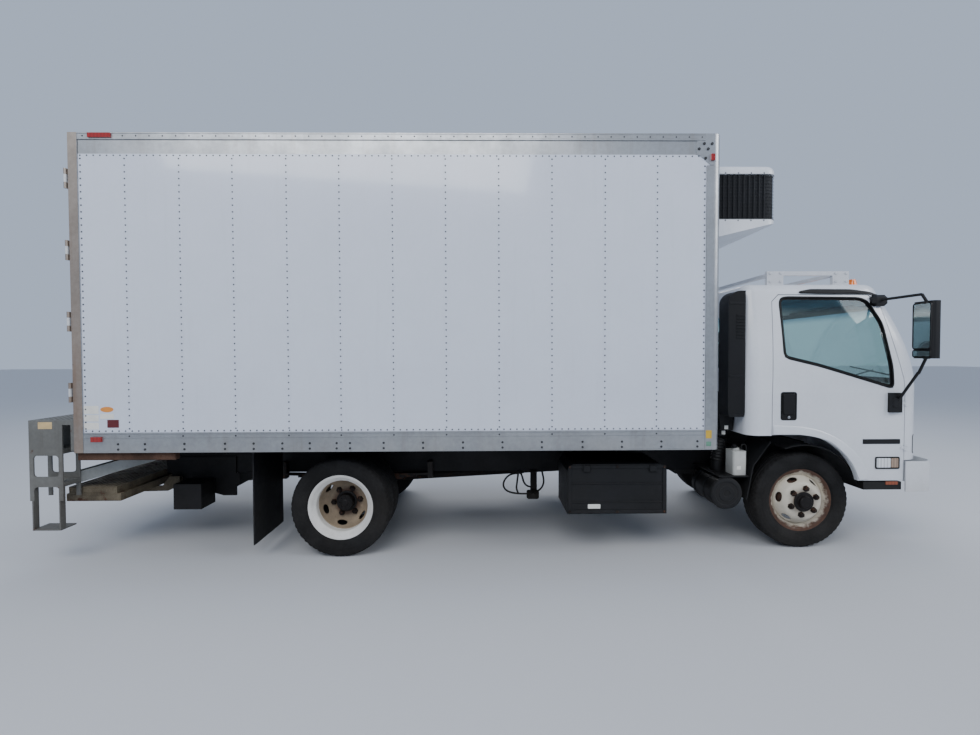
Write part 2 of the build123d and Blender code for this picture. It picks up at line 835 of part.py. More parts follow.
def cab_block(inset, bottom):
    """Make the cab's outer form, or a copy moved in by an inset, as one solid."""
    with BuildPart() as block:
        extrude(cab_plan(waist_section, inset, bottom), amount=cab_waist - bottom)
        sections = [cab_plan(waist_section, inset, cab_waist)]
        sections.append(cab_plan(middle_section, inset, middle_section.z))
        sections.append(cab_plan(brow_section, inset, brow_section.z))
        sections.append(cab_plan(roof_section, inset, cab_roof - inset))
        loft(sections)
        rim = block.edges().group_by(Axis.Z)[-1]
        fillet(rim, cab_roof_radius - inset)
    return block.part


cab_outer = cab_block(0, cab_bottom)
cab_inner = cab_block(cab_wall, cab_bottom - 10)
glass_outer = cab_block(glass_depth, cab_waist - 200)
glass_inner = cab_block(glass_depth + glass_wall, cab_waist - 200)


# Wheel arch in the door's lower edge
arch_top_z = 968
arch_rear_x = ahead(-57)
arch_foot_z = 590
arch_front_x = ahead(405)
arch_middle = (ahead(262), 832)


def door_outline(gap):
    """Draw the cab door's side outline, with the wheel arch, grown by a gap."""
    with BuildSketch(Plane.XZ) as outline:
        with BuildLine():
            Polyline(
                (arch_rear_x, arch_top_z),
                (ahead(-304), arch_top_z),
                (ahead(-304), 1310),
                (ahead(-262), 2060),
                (ahead(-205), 2118),
                (ahead(540), 2118),
                (ahead(640), 2040),
                (ahead(775), 1420),
                (chin_x - door_gap / 2, 1300),
                (chin_x - door_gap / 2, arch_foot_z),
                (arch_front_x, arch_foot_z),
            )
            ThreePointArc((arch_front_x, arch_foot_z), arch_middle, (arch_rear_x, arch_top_z))
        make_face()
        if gap:
            offset(amount=gap)
    return outline.sketch


def window_outline(inset):
    """Draw the door window's side outline, moved in by an inset."""
    with BuildSketch(Plane.XZ) as outline:
        with BuildLine():
            Polyline(
                (ahead(-200), 2075),
                (ahead(-160), 2100),
                (ahead(480), 2092),
                (ahead(540), 2060),
                (ahead(636), 1882),
                (ahead(688), 1520),
                (ahead(688), 1345),
                (ahead(90), 1530),
                (ahead(-194), 1600),
                close=True,
            )
        make_face()
        if inset:
            offset(amount=-inset)
    return outline.sketch


def side_prism(sketch, sign):
    """Extrude a side outline over one half of the cab."""
    return extrude(sketch, amount=-sign * 1100, mode=Mode.PRIVATE)


def windshield_outline(inset):
    """Draw the windshield's front outline, moved in by an inset."""
    with BuildSketch(Plane.YZ.offset(ahead(450))) as outline:
        with BuildLine():
            Polyline((-880, 1370), (880, 1370), (800, 2060), (-800, 2060), close=True)
        make_face()
        fillet(outline.vertices(), 70)
        if inset:
            offset(amount=-inset)
    return outline.sketch


windshield_hole = extrude(windshield_outline(0), amount=700, mode=Mode.PRIVATE)
lamp_bottom = 800
lamp_rear_x = chin_x + 30
lamp_inner_y = 590
lamp_outer_y = 1000
lamp_top = 965

tunnel_y = 452
floor_skin = 40
side_floor = (
    (-470, 985),
    (300, 985),
    (480, 606),
    (770, 606),
    (770, 646),
    (505, 646),
    (325, 1025),
    (-470, 1025),
)
tunnel_floor = (
    (-470, 1060),
    (300, 1060),
    (330, 812),
    (962, 812),
    (962, 772),
    (975, 772),
    (975, 852),
    (370, 852),
    (340, 1100),
    (-470, 1100),
)
toe_board = ((735, 606), (770, 606), (770, 764), (965, 764), (965, 799), (735, 799))
footwell_sides = (
    (-470, 340, 985, 1100),
    (325, 420, 780, 1045),
    (400, 770, 780, 852),
    (440, 770, 640, 800),
    (490, 770, 606, 650),
    (760, 965, 764, 852),
)


def floor_profile(points, y_from, y_to):
    """Add a floor strip from its side profile between two places across the cab."""
    with BuildSketch(side_plane(max(y_from, y_to))) as profile:
        with BuildLine():
            Polyline(*[(ahead(x), z) for x, z in points], close=True)
        make_face()
    extrude(profile.sketch, amount=abs(y_to - y_from))


foot_y = 985
with BuildPart() as floor_pieces:
    floor_profile(tunnel_floor, -tunnel_y - floor_skin, tunnel_y + floor_skin)
    for side, sign in SIDES:
        floor_profile(side_floor, sign * tunnel_y, sign * foot_y)
        floor_profile(toe_board, sign * tunnel_y, sign * foot_y)
        for x_low, x_high, z_low, z_high in footwell_sides:
            slab(
                (ahead(x_low), ahead(x_high)),
                (sign * tunnel_y, sign * (tunnel_y + floor_skin)),
                (z_low, z_high),
            )

with BuildPart() as cab_shell:
    add(cab_outer)
    add(cab_inner, mode=Mode.SUBTRACT)
    slab((chin_x, ahead(1100)), (-1100, 1100), (cab_bottom - 20, chin_z), Mode.SUBTRACT)
    slab(
        (cab_rear_x - 10, ahead(-300)),
        (-1100, 1100),
        (cab_bottom - 20, arch_top_z - door_gap),
        Mode.SUBTRACT,
    )
    with BuildSketch(side_plane(1100)):
        with BuildLine():
            Polyline(
                (arch_front_x, arch_foot_z),
                (arch_front_x, cab_bottom - 20),
                (ahead(-310), cab_bottom - 20),
                (ahead(-310), arch_top_z),
                (arch_rear_x, arch_top_z),
            )
            ThreePointArc((arch_rear_x, arch_top_z), arch_middle, (arch_front_x, arch_foot_z))
        make_face()
    extrude(amount=2200, mode=Mode.SUBTRACT)
    for side, sign in SIDES:
        add(side_prism(door_outline(door_gap), sign), mode=Mode.SUBTRACT)
        slab(
            (lamp_rear_x, ahead(1100)),
            (sign * lamp_inner_y, sign * lamp_outer_y),
            (lamp_bottom, lamp_top),
            Mode.SUBTRACT,
        )
    add(windshield_hole, mode=Mode.SUBTRACT)
    slab((cab_rear_x - 10, cab_rear_x + 80), (-560, 560), (1500, 1960), Mode.SUBTRACT)
    add(floor_pieces.part.intersect(cab_block(cab_wall / 2, cab_bottom - 10)))
    for side, sign in SIDES:
        arm_y = sign * pivot_y
        slab(
            (cab_pivot_x - 40, cab_pivot_x + 40),
            (arm_y - 20, arm_y + 20),
            (cab_pivot_z, 830),
        )
        rod(
            (cab_pivot_x, arm_y - 20, cab_pivot_z),
            (cab_pivot_x, arm_y + 20, cab_pivot_z),
            40,
        )
        rod(
            (cab_pivot_x, arm_y - 30, cab_pivot_z),
            (cab_pivot_x, arm_y + 30, cab_pivot_z),
            cab_pivot_radius + bearing_gap,
            Mode.SUBTRACT,
        )
        for z in door_hinge_heights:
            axis = (door_hinge_x, sign * door_hinge_y)
            reach = door_hinge_reach - door_knuckle
            rod((*axis, z - reach), (*axis, z + reach), door_hinge_radius + 1, Mode.SUBTRACT)
            rod((*axis, z - door_hinge_reach), (*axis, z + door_hinge_reach), door_pin_radius)
            for low in (z - door_hinge_reach, z + door_hinge_reach - door_knuckle):
                rod((*axis, low), (*axis, low + door_knuckle), door_hinge_radius)
                slab(
                    (door_hinge_x, door_hinge_x + 25),
                    (sign * (door_hinge_y - 14), sign * (door_hinge_y + 3)),
                    (low, low + door_knuckle),
                )
save(cab_shell, "cab_shell")


def glass_pane(prism):
    """Cut one pane from the cab's glass shell."""
    return (glass_outer - glass_inner).intersect(prism)


with BuildPart() as cab_glass:
    add(glass_pane(extrude(windshield_outline(seat_gap), amount=700, mode=Mode.PRIVATE)))
    slab(
        (cab_rear_x + glass_depth, cab_rear_x + glass_depth + glass_wall),
        (seat_gap - 560, 560 - seat_gap),
        (1500 + seat_gap, 1960 - seat_gap),
    )
save(cab_glass, "cab_glass")

with BuildPart() as headlamps:
    for side, sign in SIDES:
        with BuildPart(mode=Mode.PRIVATE) as lamp_space:
            slab(
                (lamp_rear_x + seat_gap, ahead(1100)),
                (sign * (lamp_inner_y + seat_gap), sign * (lamp_outer_y - seat_gap)),
                (lamp_bottom + seat_gap, lamp_top - seat_gap),
            )
        add((cab_outer - cab_inner).intersect(lamp_space.part))
save(headlamps, "headlamps")

# Black arch liners with the steps in front of the wheels, on the cab
liner_radius = 468
liner_wall = 8
with BuildPart() as wheel_liners:
    for side, sign in SIDES:
        liner_y = 975 if sign > 0 else -500
        with BuildSketch(side_plane(liner_y)):
            with BuildLine():
                start, middle, end = [
                    (
                        front_axle_x + liner_radius * cos(radians(angle)),
                        axle_z + liner_radius * sin(radians(angle)),
                    )
                    for angle in (14, 62, 110)
                ]
                outer_start, outer_middle, outer_end = [
                    (
                        front_axle_x + (liner_radius + liner_wall) * cos(radians(angle)),
                        axle_z + (liner_radius + liner_wall) * sin(radians(angle)),
                    )
                    for angle in (14, 62, 110)
                ]
                ThreePointArc(start, middle, end)
                Line(end, outer_end)
                ThreePointArc(outer_end, outer_middle, outer_start)
                Line(outer_start, start)
            make_face()
        extrude(amount=475)
        slab((start[0], ahead(768)), (sign * 500, sign * 1026), (513, cab_bottom - 8))
        for hanger_x in (520, 740):
            slab(
                (ahead(hanger_x - 15), ahead(hanger_x + 15)),
                (sign * 600, sign * 900),
                (cab_bottom - 9, 606 - seat_gap),
            )
save(wheel_liners, "wheel_liners")

# Inside of the cab
with BuildPart() as cab_seats:
    for low_y, high_y in ((-880, -60), (250, 830)):
        slab((ahead(-330), ahead(180)), (low_y, high_y), (1100 + seat_gap, 1280))
        with BuildSketch(side_plane(high_y)):
            with BuildLine():
                Polyline(
                    (ahead(-330), 1200),
                    (ahead(-200), 1200),
                    (ahead(-290), 1840),
                    (ahead(-390), 1840),
                    close=True,
                )
            make_face()
        extrude(amount=high_y - low_y)
save(cab_seats, "cab_seats")

wheel_place = (ahead(330), 540, 1400)
with BuildPart() as dashboard:
    with BuildSketch(side_plane(930)):
        with BuildLine():
            Polyline(
                (ahead(480), 1050),
                (ahead(470), 1180),
                (ahead(520), 1290),
                (ahead(1000), 1265),
                (ahead(1000), 1050),
                close=True,
            )
        make_face()
    extrude(amount=1860)
    add(cab_block(cab_wall + seat_gap, cab_bottom), mode=Mode.INTERSECT)
    column = Plane(origin=wheel_place, z_dir=(-sin(radians(28)), 0, cos(radians(28))))
    with BuildSketch(Plane(origin=wheel_place, x_dir=column.x_dir, z_dir=column.y_dir)):
        with Locations((205, 0)):
            Circle(15)
    revolve(axis=Axis(wheel_place, column.z_dir))
    with Locations(column):
        Cylinder(45, 40)
        for turn in (0, 90, 180, 270):
            with Locations(Rotation(0, 0, turn)):
                with Locations((105, 0, 0)):
                    Box(200, 26, 14)
    column_end = Vector(*wheel_place) - column.z_dir * 300
    rod(wheel_place, tuple(column_end), 24)
save(dashboard, "dashboard")

# On the cab's roof and back
roof_seat = cab_roof + seat_gap
with BuildPart() as roof_rack:
    for side, sign in SIDES:
        slab((ahead(-225), ahead(482)), (sign * 755, sign * 790), (2300, 2336))
        for foot_x in (-225, 342):
            slab((ahead(foot_x), ahead(foot_x + 140)), (sign * 755, sign * 790), (roof_seat, 2301))
    for bar_x in (-155, 412):
        slab((ahead(bar_x - 20), ahead(bar_x + 20)), (-756, 756), (2304, 2332))
save(roof_rack, "roof_rack")

with BuildPart() as roof_lamps:
    for lamp_y in (-700, -180, 0, 180, 700):
        with BuildSketch(Plane.XY.offset(roof_seat)):
            with Locations((ahead(565), lamp_y)):
                RectangleRounded(70, 110, 30)
        extrude(amount=60, taper=14)
save(roof_lamps, "roof_lamps")

boot_x = neck_x + 4
boot_bottom = neck_top + 22
with BuildPart() as intake_snorkel:
    with BuildSketch(side_plane(-800)):
        with BuildLine():
            Line((ahead(-640), 1250), (ahead(-640), 2040))
            ThreePointArc((ahead(-640), 2040), (ahead(-610), 2120), (ahead(-530), 2150))
            Line((ahead(-530), 2150), (ahead(-500) - seat_gap, 2150))
            Line((ahead(-500) - seat_gap, 2150), (ahead(-500) - seat_gap, 1250))
            Line((ahead(-500) - seat_gap, 1250), (ahead(-640), 1250))
        make_face()
    extrude(amount=170)
    with BuildSketch(side_plane(-650)):
        with BuildLine():
            Polyline(
                (ahead(-640), 1300),
                (ahead(-500) - seat_gap, 1300),
                (ahead(-500) - seat_gap, 1150),
                (boot_x + duct_radius, boot_bottom + 60),
                (boot_x - duct_radius, boot_bottom + 60),
                (ahead(-640), 1180),
                close=True,
            )
        make_face()
    extrude(amount=320)
    slab((ahead(-700), ahead(-495)), (-1000, -808), (boot_bottom, 1120), Mode.SUBTRACT)
    rod((boot_x - 12, duct_y, boot_bottom), (boot_x + 8, duct_y, boot_bottom + 80), duct_radius)
save(intake_snorkel, "intake_snorkel")

# Cab doors, each with its glass and mirror
for side, sign in SIDES:
    door_prism = side_prism(door_outline(0), sign)
    with BuildPart() as cab_door:
        add((cab_outer - cab_inner).intersect(door_prism))
        add(side_prism(window_outline(0), sign), mode=Mode.SUBTRACT)
        for z in door_hinge_heights:
            axis = (door_hinge_x, sign * door_hinge_y)
            full = door_hinge_reach + 1
            rod((*axis, z - full), (*axis, z + full), door_hinge_radius + 1, Mode.SUBTRACT)
            reach = door_hinge_reach - door_knuckle - door_hinge_play
            rod((*axis, z - reach), (*axis, z + reach), door_hinge_radius)
            slab(
                (door_hinge_x - 30, door_hinge_x),
                (sign * (door_hinge_y - 4), sign * (door_hinge_y + 3)),
                (z - reach, z + reach),
            )
            rod(
                (*axis, z - reach),
                (*axis, z + reach),
                door_pin_radius + bearing_gap,
                Mode.SUBTRACT,
            )
    save(cab_door, f"cab_door_{side}")
    with BuildPart() as door_glass:
        add(glass_pane(side_prism(window_outline(seat_gap), sign)))
    save(door_glass, f"door_glass_{side}")

mirror_x = ahead(762)
mirror_y = 1250
for side, sign in SIDES:
    with BuildPart() as mirror:
        with BuildSketch(Plane.XY.offset(1590)):
            with Locations((mirror_x, sign * mirror_y)):
                RectangleRounded(78, 184, 30)
        extrude(amount=440)
        slab((ahead(640), ahead(740)), (sign * (1032 + seat_gap), sign * 1060), (1150, 1310))
        rod((ahead(700), sign * 1050, 1230), (mirror_x, sign * 1180, 1480), 11)
        rod((mirror_x, sign * 1180, 1470), (mirror_x, sign * mirror_y, 1600), 11)
        rod((ahead(610), sign * 965, 2070), (mirror_x, sign * 1200, 2090), 11)
        rod((mirror_x, sign * 1200, 2090), (mirror_x, sign * mirror_y, 2020), 11)
    save(mirror, f"mirror_{side}")

# Front bumper, a thin shell round the nose with brackets to the rail ends
bumper_half_width = 1050
bumper_front_x = ahead(nose_overhang)
bumper_bottom = 500
bumper_top = 749
bumper_wall = 12


def bumper_plan(inset, z):
    """Draw the bumper's outer plan, moved in by an inset."""
    half = bumper_half_width - inset
    front = bumper_front_x - inset
    end = front - 46
    corner = 130 - inset
    bend = corner * (1 - cos(radians(45)))
    back = ahead(786)
    with BuildSketch(Plane.XY.offset(z)) as plan:
        with BuildLine():
            Line((back, -half), (end - corner, -half))
            ThreePointArc((end - corner, -half), (end - bend, bend - half), (end, corner - half))
            ThreePointArc((end, corner - half), (front, 0), (end, half - corner))
            ThreePointArc((end, half - corner), (end - bend, half - bend), (end - corner, half))
            Line((end - corner, half), (back, half))
            Line((back, half), (back, -half))
        make_face()
    return plan.sketch


with BuildPart() as front_bumper:
    ring = bumper_plan(0, bumper_bottom) - bumper_plan(bumper_wall, bumper_bottom)
    extrude(ring, amount=bumper_top - bumper_bottom)
    slab((ahead(780), ahead(800)), (-1030, 1030), (bumper_bottom - 10, bumper_top + 10), Mode.SUBTRACT)
    for side, sign in SIDES:
        slab(
            (rail_front_x - 100, bumper_front_x - bumper_wall - 5),
            (sign * (frame_half_width - rail_flange), sign * frame_half_width),
            (bumper_bottom + 10, rail_bottom - seat_gap),
        )
save(front_bumper, "front_bumper")

# Bed extension behind the body with its step frames
deck_wall = 36
step_plate = 10
step_front_x = ahead(-5895)
step_rear_x = ahead(-tail_overhang)
step_outer_y = 1200
step_depth = 165
plate_half_width = step_outer_y - step_depth
with BuildPart() as bed_extension:
    slab((step_rear_x, body_rear_x - seat_gap), (-step_outer_y, step_outer_y), (floor_top - deck_wall, floor_top))
    slab((body_rear_x - 40, body_rear_x - seat_gap), (-step_outer_y, step_outer_y), (900, floor_top - deck_wall))
    slab((ahead(-5965), ahead(-5950)), (-plate_half_width, plate_half_width), (650, floor_top - deck_wall))
    for side, sign in SIDES:
        for plate_y in (step_outer_y, step_outer_y - step_depth):
            slab(
                (step_rear_x, step_front_x),
                (sign * plate_y, sign * (plate_y - step_plate)),
                (513, floor_top - 1),
            )
        for tread_z in (620, 875):
            slab(
                (step_rear_x, step_front_x),
                (sign * step_outer_y, sign * (step_outer_y - step_depth)),
                (tread_z, tread_z + 38),
            )
    for low, high in ((513, 620), (700, 863)):
        with BuildSketch(side_plane(step_outer_y + 1)):
            with Locations(((step_rear_x + step_front_x) / 2, (low + high) / 2 - (30 if low < 600 else 0))):
                RectangleRounded(190, high - low + (60 if low < 600 else 0), 25)
        extrude(amount=2 * step_outer_y + 2, mode=Mode.SUBTRACT)
    for side, sign in SIDES:
        for strap_x in (ahead(-6130), ahead(-5925)):
            slab((strap_x - 5, strap_x + 5), (sign * step_outer_y, sign * (step_outer_y - 50)), (283, 640))
        slab((ahead(-6135), ahead(-5920)), (sign * step_outer_y, sign * (step_outer_y - 150)), (283, 293))
save(bed_extension, "bed_extension")

# Liftgate frame, with pump box, hung on the rails
hanger_wall = 14
hanger_y = frame_half_width + seat_gap
with BuildPart() as liftgate_frame:
    for side, sign in SIDES:
        with BuildSketch(side_plane(hanger_y + hanger_wall if sign > 0 else -hanger_y)):
            with BuildLine():
                Polyline(
                    (ahead(-5530), 700),
                    (ahead(-5530), 440),
                    (ahead(-5400), 440),
                    (ahead(-5060), 340),
                    (ahead(-4940), 340),
                    (ahead(-4940), 700),
                    close=True,
                )
            make_face()
        extrude(amount=hanger_wall)
        rod(
            (lift_pivot_x, sign * hanger_y, lift_pivot_z),
            (lift_pivot_x, sign * (hanger_y + hanger_wall), lift_pivot_z),
            lift_shaft_radius + bearing_gap,
            Mode.SUBTRACT,
        )
    rod(
        (cylinder_pivot_x, -hanger_y - 1, cylinder_pivot_z),
        (cylinder_pivot_x, hanger_y + 1, cylinder_pivot_z),
        eye_radius,
    )
    slab((ahead(-4950), ahead(-4910)), (-hanger_y - hanger_wall, hanger_y + hanger_wall), (440, 545))
    slab((ahead(-5360), ahead(-5120)), (-700, -hanger_y - hanger_wall - 30), (290, 510))
    slab((ahead(-5280), ahead(-5200)), (-hanger_y - hanger_wall + 1, -480), (440, 500))
save(liftgate_frame, "liftgate_frame")

arm_y = 520
pack_rear_x = ahead(-6035)
pack_front_x = ahead(-5600)
crank_angle = 225
crank_half_width = 28
eye_half_width = 16
crank = (
    lift_pivot_x + crank_radius * cos(radians(crank_angle)),
    lift_pivot_z + crank_radius * sin(radians(crank_angle)),
)
with BuildPart() as liftgate_arms:
    rod(
        (lift_pivot_x, -arm_y - 12, lift_pivot_z),
        (lift_pivot_x, arm_y + 12, lift_pivot_z),
        lift_shaft_radius,
    )
    for side, sign in SIDES:
        with BuildSketch(side_plane(arm_y + 12 if sign > 0 else -arm_y + 12)):
            with BuildLine():
                Polyline(
                    (lift_pivot_x + 45, lift_pivot_z + 40),
                    (lift_pivot_x + 45, lift_pivot_z - 45),
                    (lift_pivot_x - 60, 410),
                    (pack_rear_x + 10, 400),
                    (pack_rear_x + 10, 454),
                    (lift_pivot_x - 110, 454),
                    (lift_pivot_x - 45, lift_pivot_z + 40),
                    close=True,
                )
            make_face()
        extrude(amount=24)
    with BuildSketch(side_plane(crank_half_width)):
        with BuildLine():
            Polyline(
                (lift_pivot_x - 28, lift_pivot_z + 28),
                (crank[0] - 18, crank[1] + 18),
                (crank[0] - 22, crank[1] - 22),
                (crank[0] + 18, crank[1] - 18),
                (lift_pivot_x + 28, lift_pivot_z - 28),
                close=True,
            )
        make_face()
    extrude(amount=2 * crank_half_width)
    slab(
        (crank[0] - 60, crank[0] + 70),
        (-eye_half_width - 2, eye_half_width + 2),
        (crank[1] - 60, crank[1] + 70),
        Mode.SUBTRACT,
    )
    rod((crank[0], -crank_half_width, crank[1]), (crank[0], crank_half_width, crank[1]), eye_radius)
save(liftgate_arms, "liftgate_arms")

with BuildPart() as liftgate_platform:
    slab((pack_rear_x, pack_front_x), (-1000, 1000), (454 + seat_gap, 515))
    slab((pack_rear_x + 20, pack_front_x - 30), (-1000, 1000), (515, 572))
save(liftgate_platform, "liftgate_platform")

# Lift cylinder and its rod, between the frame's pin and the crank
reach = Vector(crank[0] - cylinder_pivot_x, 0, crank[1] - cylinder_pivot_z)
aim = reach.normalized()
pin = Vector(cylinder_pivot_x, 0, cylinder_pivot_z)
rod_radius = 14
eye_play = 6
with BuildPart() as liftgate_cylinder:
    rod(tuple(pin + aim * 12), tuple(pin + aim * 300), 30)
    rod((pin.X, -22, pin.Z), (pin.X, 22, pin.Z), 26)
    rod((pin.X, -23, pin.Z), (pin.X, 23, pin.Z), eye_radius + bearing_gap, Mode.SUBTRACT)
    rod(tuple(pin + aim * 40), tuple(pin + aim * 301), rod_radius + bearing_gap, Mode.SUBTRACT)
save(liftgate_cylinder, "liftgate_cylinder")

eye_end = pin + reach
with BuildPart() as liftgate_rod:
    rod(tuple(pin + aim * 130), tuple(eye_end - aim * (eye_radius + eye_play + 2)), rod_radius)
    rod((eye_end.X, -eye_half_width, eye_end.Z), (eye_end.X, eye_half_width, eye_end.Z), 26)
    rod(
        (eye_end.X, -eye_half_width - 1, eye_end.Z),
        (eye_end.X, eye_half_width + 1, eye_end.Z),
        eye_radius + eye_play,
        Mode.SUBTRACT,
    )
save(liftgate_rod, "liftgate_rod")
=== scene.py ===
"""Looks of the refrigerated truck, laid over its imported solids.

Metres throughout. X is forward, Y the truck's left and Z up, as in the solids.
"""

import json
import logging
import math
from dataclasses import dataclass, field
from enum import Enum

import bmesh
import bpy
import numpy as np
from mathutils import Matrix

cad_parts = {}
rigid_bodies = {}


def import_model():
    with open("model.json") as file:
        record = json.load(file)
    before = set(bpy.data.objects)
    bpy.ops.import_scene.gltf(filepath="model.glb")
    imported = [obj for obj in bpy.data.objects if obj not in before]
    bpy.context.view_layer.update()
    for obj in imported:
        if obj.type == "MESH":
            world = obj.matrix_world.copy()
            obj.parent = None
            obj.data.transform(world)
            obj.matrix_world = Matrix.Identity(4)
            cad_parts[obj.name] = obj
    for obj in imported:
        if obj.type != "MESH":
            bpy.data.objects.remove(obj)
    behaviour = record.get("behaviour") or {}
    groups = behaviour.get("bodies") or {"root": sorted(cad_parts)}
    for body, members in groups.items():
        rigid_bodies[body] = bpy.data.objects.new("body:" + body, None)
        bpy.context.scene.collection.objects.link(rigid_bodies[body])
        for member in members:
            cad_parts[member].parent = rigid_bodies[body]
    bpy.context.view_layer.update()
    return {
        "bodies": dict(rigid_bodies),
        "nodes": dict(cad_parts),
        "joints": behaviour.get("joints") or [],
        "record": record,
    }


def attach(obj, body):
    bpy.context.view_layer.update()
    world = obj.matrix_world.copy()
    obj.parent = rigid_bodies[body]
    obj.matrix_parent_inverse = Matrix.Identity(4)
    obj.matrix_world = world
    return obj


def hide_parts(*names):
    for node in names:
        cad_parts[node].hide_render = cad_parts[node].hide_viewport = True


Colour = tuple[float, float, float, float]
Point = tuple[float, float, float]
Pair = tuple[float, float]
Profile = tuple[Pair, ...]
Socket = bpy.types.NodeSocket

LOG = logging.getLogger("refrigerated_truck")
FRONT_AXLE_X = 2.525
REAR_AXLE_X = FRONT_AXLE_X - 3.815
AXLE_Z = 0.4
CAB_HEIGHTS = (1.31, 1.66, 2.01, 2.215)


def ahead(distance: float) -> float:
    """Place along X from a distance in metres ahead of the front axle."""
    return FRONT_AXLE_X + distance


def shade(red: float, green: float, blue: float) -> Colour:
    """Turn a display colour into linear light.

    Args:
        red: Display red, 0 to 255.
        green: Display green, 0 to 255.
        blue: Display blue, 0 to 255.

    Returns:
        The linear colour with full alpha.
    """
    display = np.array((red, green, blue)) / 255.0
    linear = np.where(display <= 0.04045, display / 12.92, ((display + 0.055) / 1.055) ** 2.4)
    return (float(linear[0]), float(linear[1]), float(linear[2]), 1.0)


class Web:
    """Short calls that add and wire the nodes of one tree."""

    def __init__(self, tree: bpy.types.NodeTree) -> None:
        """Keep the tree.

        Args:
            tree: Node tree of a material, a world or a group.
        """
        self.tree = tree

    def add(self, kind: str, **fields: object) -> bpy.types.Node:
        """Add a node and set its fields.

        Args:
            kind: Blender's name of the node.
            **fields: Values of the node's own fields.

        Returns:
            The new node.
        """
        node = self.tree.nodes.new(kind)
        for name, value in fields.items():
            setattr(node, name, value)
        return node

    def feed(self, socket: Socket, value: object) -> None:
        """Link a socket to another one, or give it a constant.

        Args:
            socket: Socket that takes the value.
            value: Socket, number or colour.
        """
        if isinstance(value, Socket):
            self.tree.links.new(value, socket)
        else:
            socket.default_value = value

    def sum(self, operation: str, first: object, second: object = 0.0, clamp: bool = False) -> Socket:
        """Work out one arithmetic step.

        Args:
            operation: Blender's name of the step, such as MULTIPLY.
            first: Socket or number.
            second: Socket or number.
            clamp: Keep the result between 0 and 1.

        Returns:
            The result's socket.
        """
        node = self.add("ShaderNodeMath", operation=operation, use_clamp=clamp)
        self.feed(node.inputs[0], first)
        self.feed(node.inputs[1], second)
        return node.outputs[0]

    def span(self, value: object, low: object, high: object, to_low: object = 0.0, to_high: object = 1.0) -> Socket:
        """Carry a value from one range to another with soft ends.

        Args:
            value: Socket that varies.
            low: Value that gives to_low.
            high: Value that gives to_high.
            to_low: Result at low.
            to_high: Result at high.

        Returns:
            The result's socket.
        """
        node = self.add("ShaderNodeMapRange", interpolation_type="SMOOTHSTEP")
        for index, item in enumerate((value, low, high, to_low, to_high)):
            self.feed(node.inputs[index], item)
        return node.outputs[0]

    def mix(self, factor: object, first: object, second: object) -> Socket:
        """Mix two colours by a factor and return the colour's socket.

        Args:
            factor: Share of the second colour, 0 to 1.
            first: Socket or colour.
            second: Socket or colour.

        Returns:
            The mixed colour's socket.
        """
        node = self.add("ShaderNodeMix", data_type="RGBA")
        self.feed(node.inputs[0], factor)
        self.feed(node.inputs[6], first)
        self.feed(node.inputs[7], second)
        return node.outputs[2]

    def stretch(self, vector: object, scale: Point, shift: Point = (0.0, 0.0, 0.0)) -> Socket:
        """Scale and shift a vector axis by axis and return its socket.

        Args:
            vector: Socket of the vector.
            scale: Factor for each axis.
            shift: Shift along each axis.

        Returns:
            The new vector's socket.
        """
        node = self.add("ShaderNodeMapping")
        self.feed(node.inputs["Vector"], vector)
        node.inputs["Scale"].default_value = scale
        node.inputs["Location"].default_value = shift
        return node.outputs[0]

    def noise(self, vector: object, scale: object, detail: float = 4.0, rough: float = 0.55) -> Socket:
        """Add soft noise.

        Args:
            vector: Socket of the place.
            scale: Waves per metre.
            detail: Number of finer layers.
            rough: Strength of the finer layers.

        Returns:
            Socket that varies round 0.5.
        """
        node = self.add("ShaderNodeTexNoise")
        self.feed(node.inputs["Vector"], vector)
        self.feed(node.inputs["Scale"], scale)
        node.inputs["Detail"].default_value = detail
        node.inputs["Roughness"].default_value = rough
        return node.outputs[0]

    def height(self, vector: object) -> Socket:
        """Take the height out of a place and return its socket.

        Args:
            vector: Socket of the place.

        Returns:
            Socket of its Z.
        """
        node = self.add("ShaderNodeSeparateXYZ")
        self.feed(node.inputs[0], vector)
        return node.outputs[2]


class Effect(Enum):
    """Shared node groups, by the name each has in the file."""

    ROAD_GRIME = "road_grime"
    RUST = "rust_patches"
    MOTTLE = "paint_mottle"
    STREAKS = "rain_streaks"
    GRAIN = "moulded_grain"
    BRUSHED = "brushed_metal"
    WAVES = "sheet_waves"
    WEAVE = "cloth_weave"


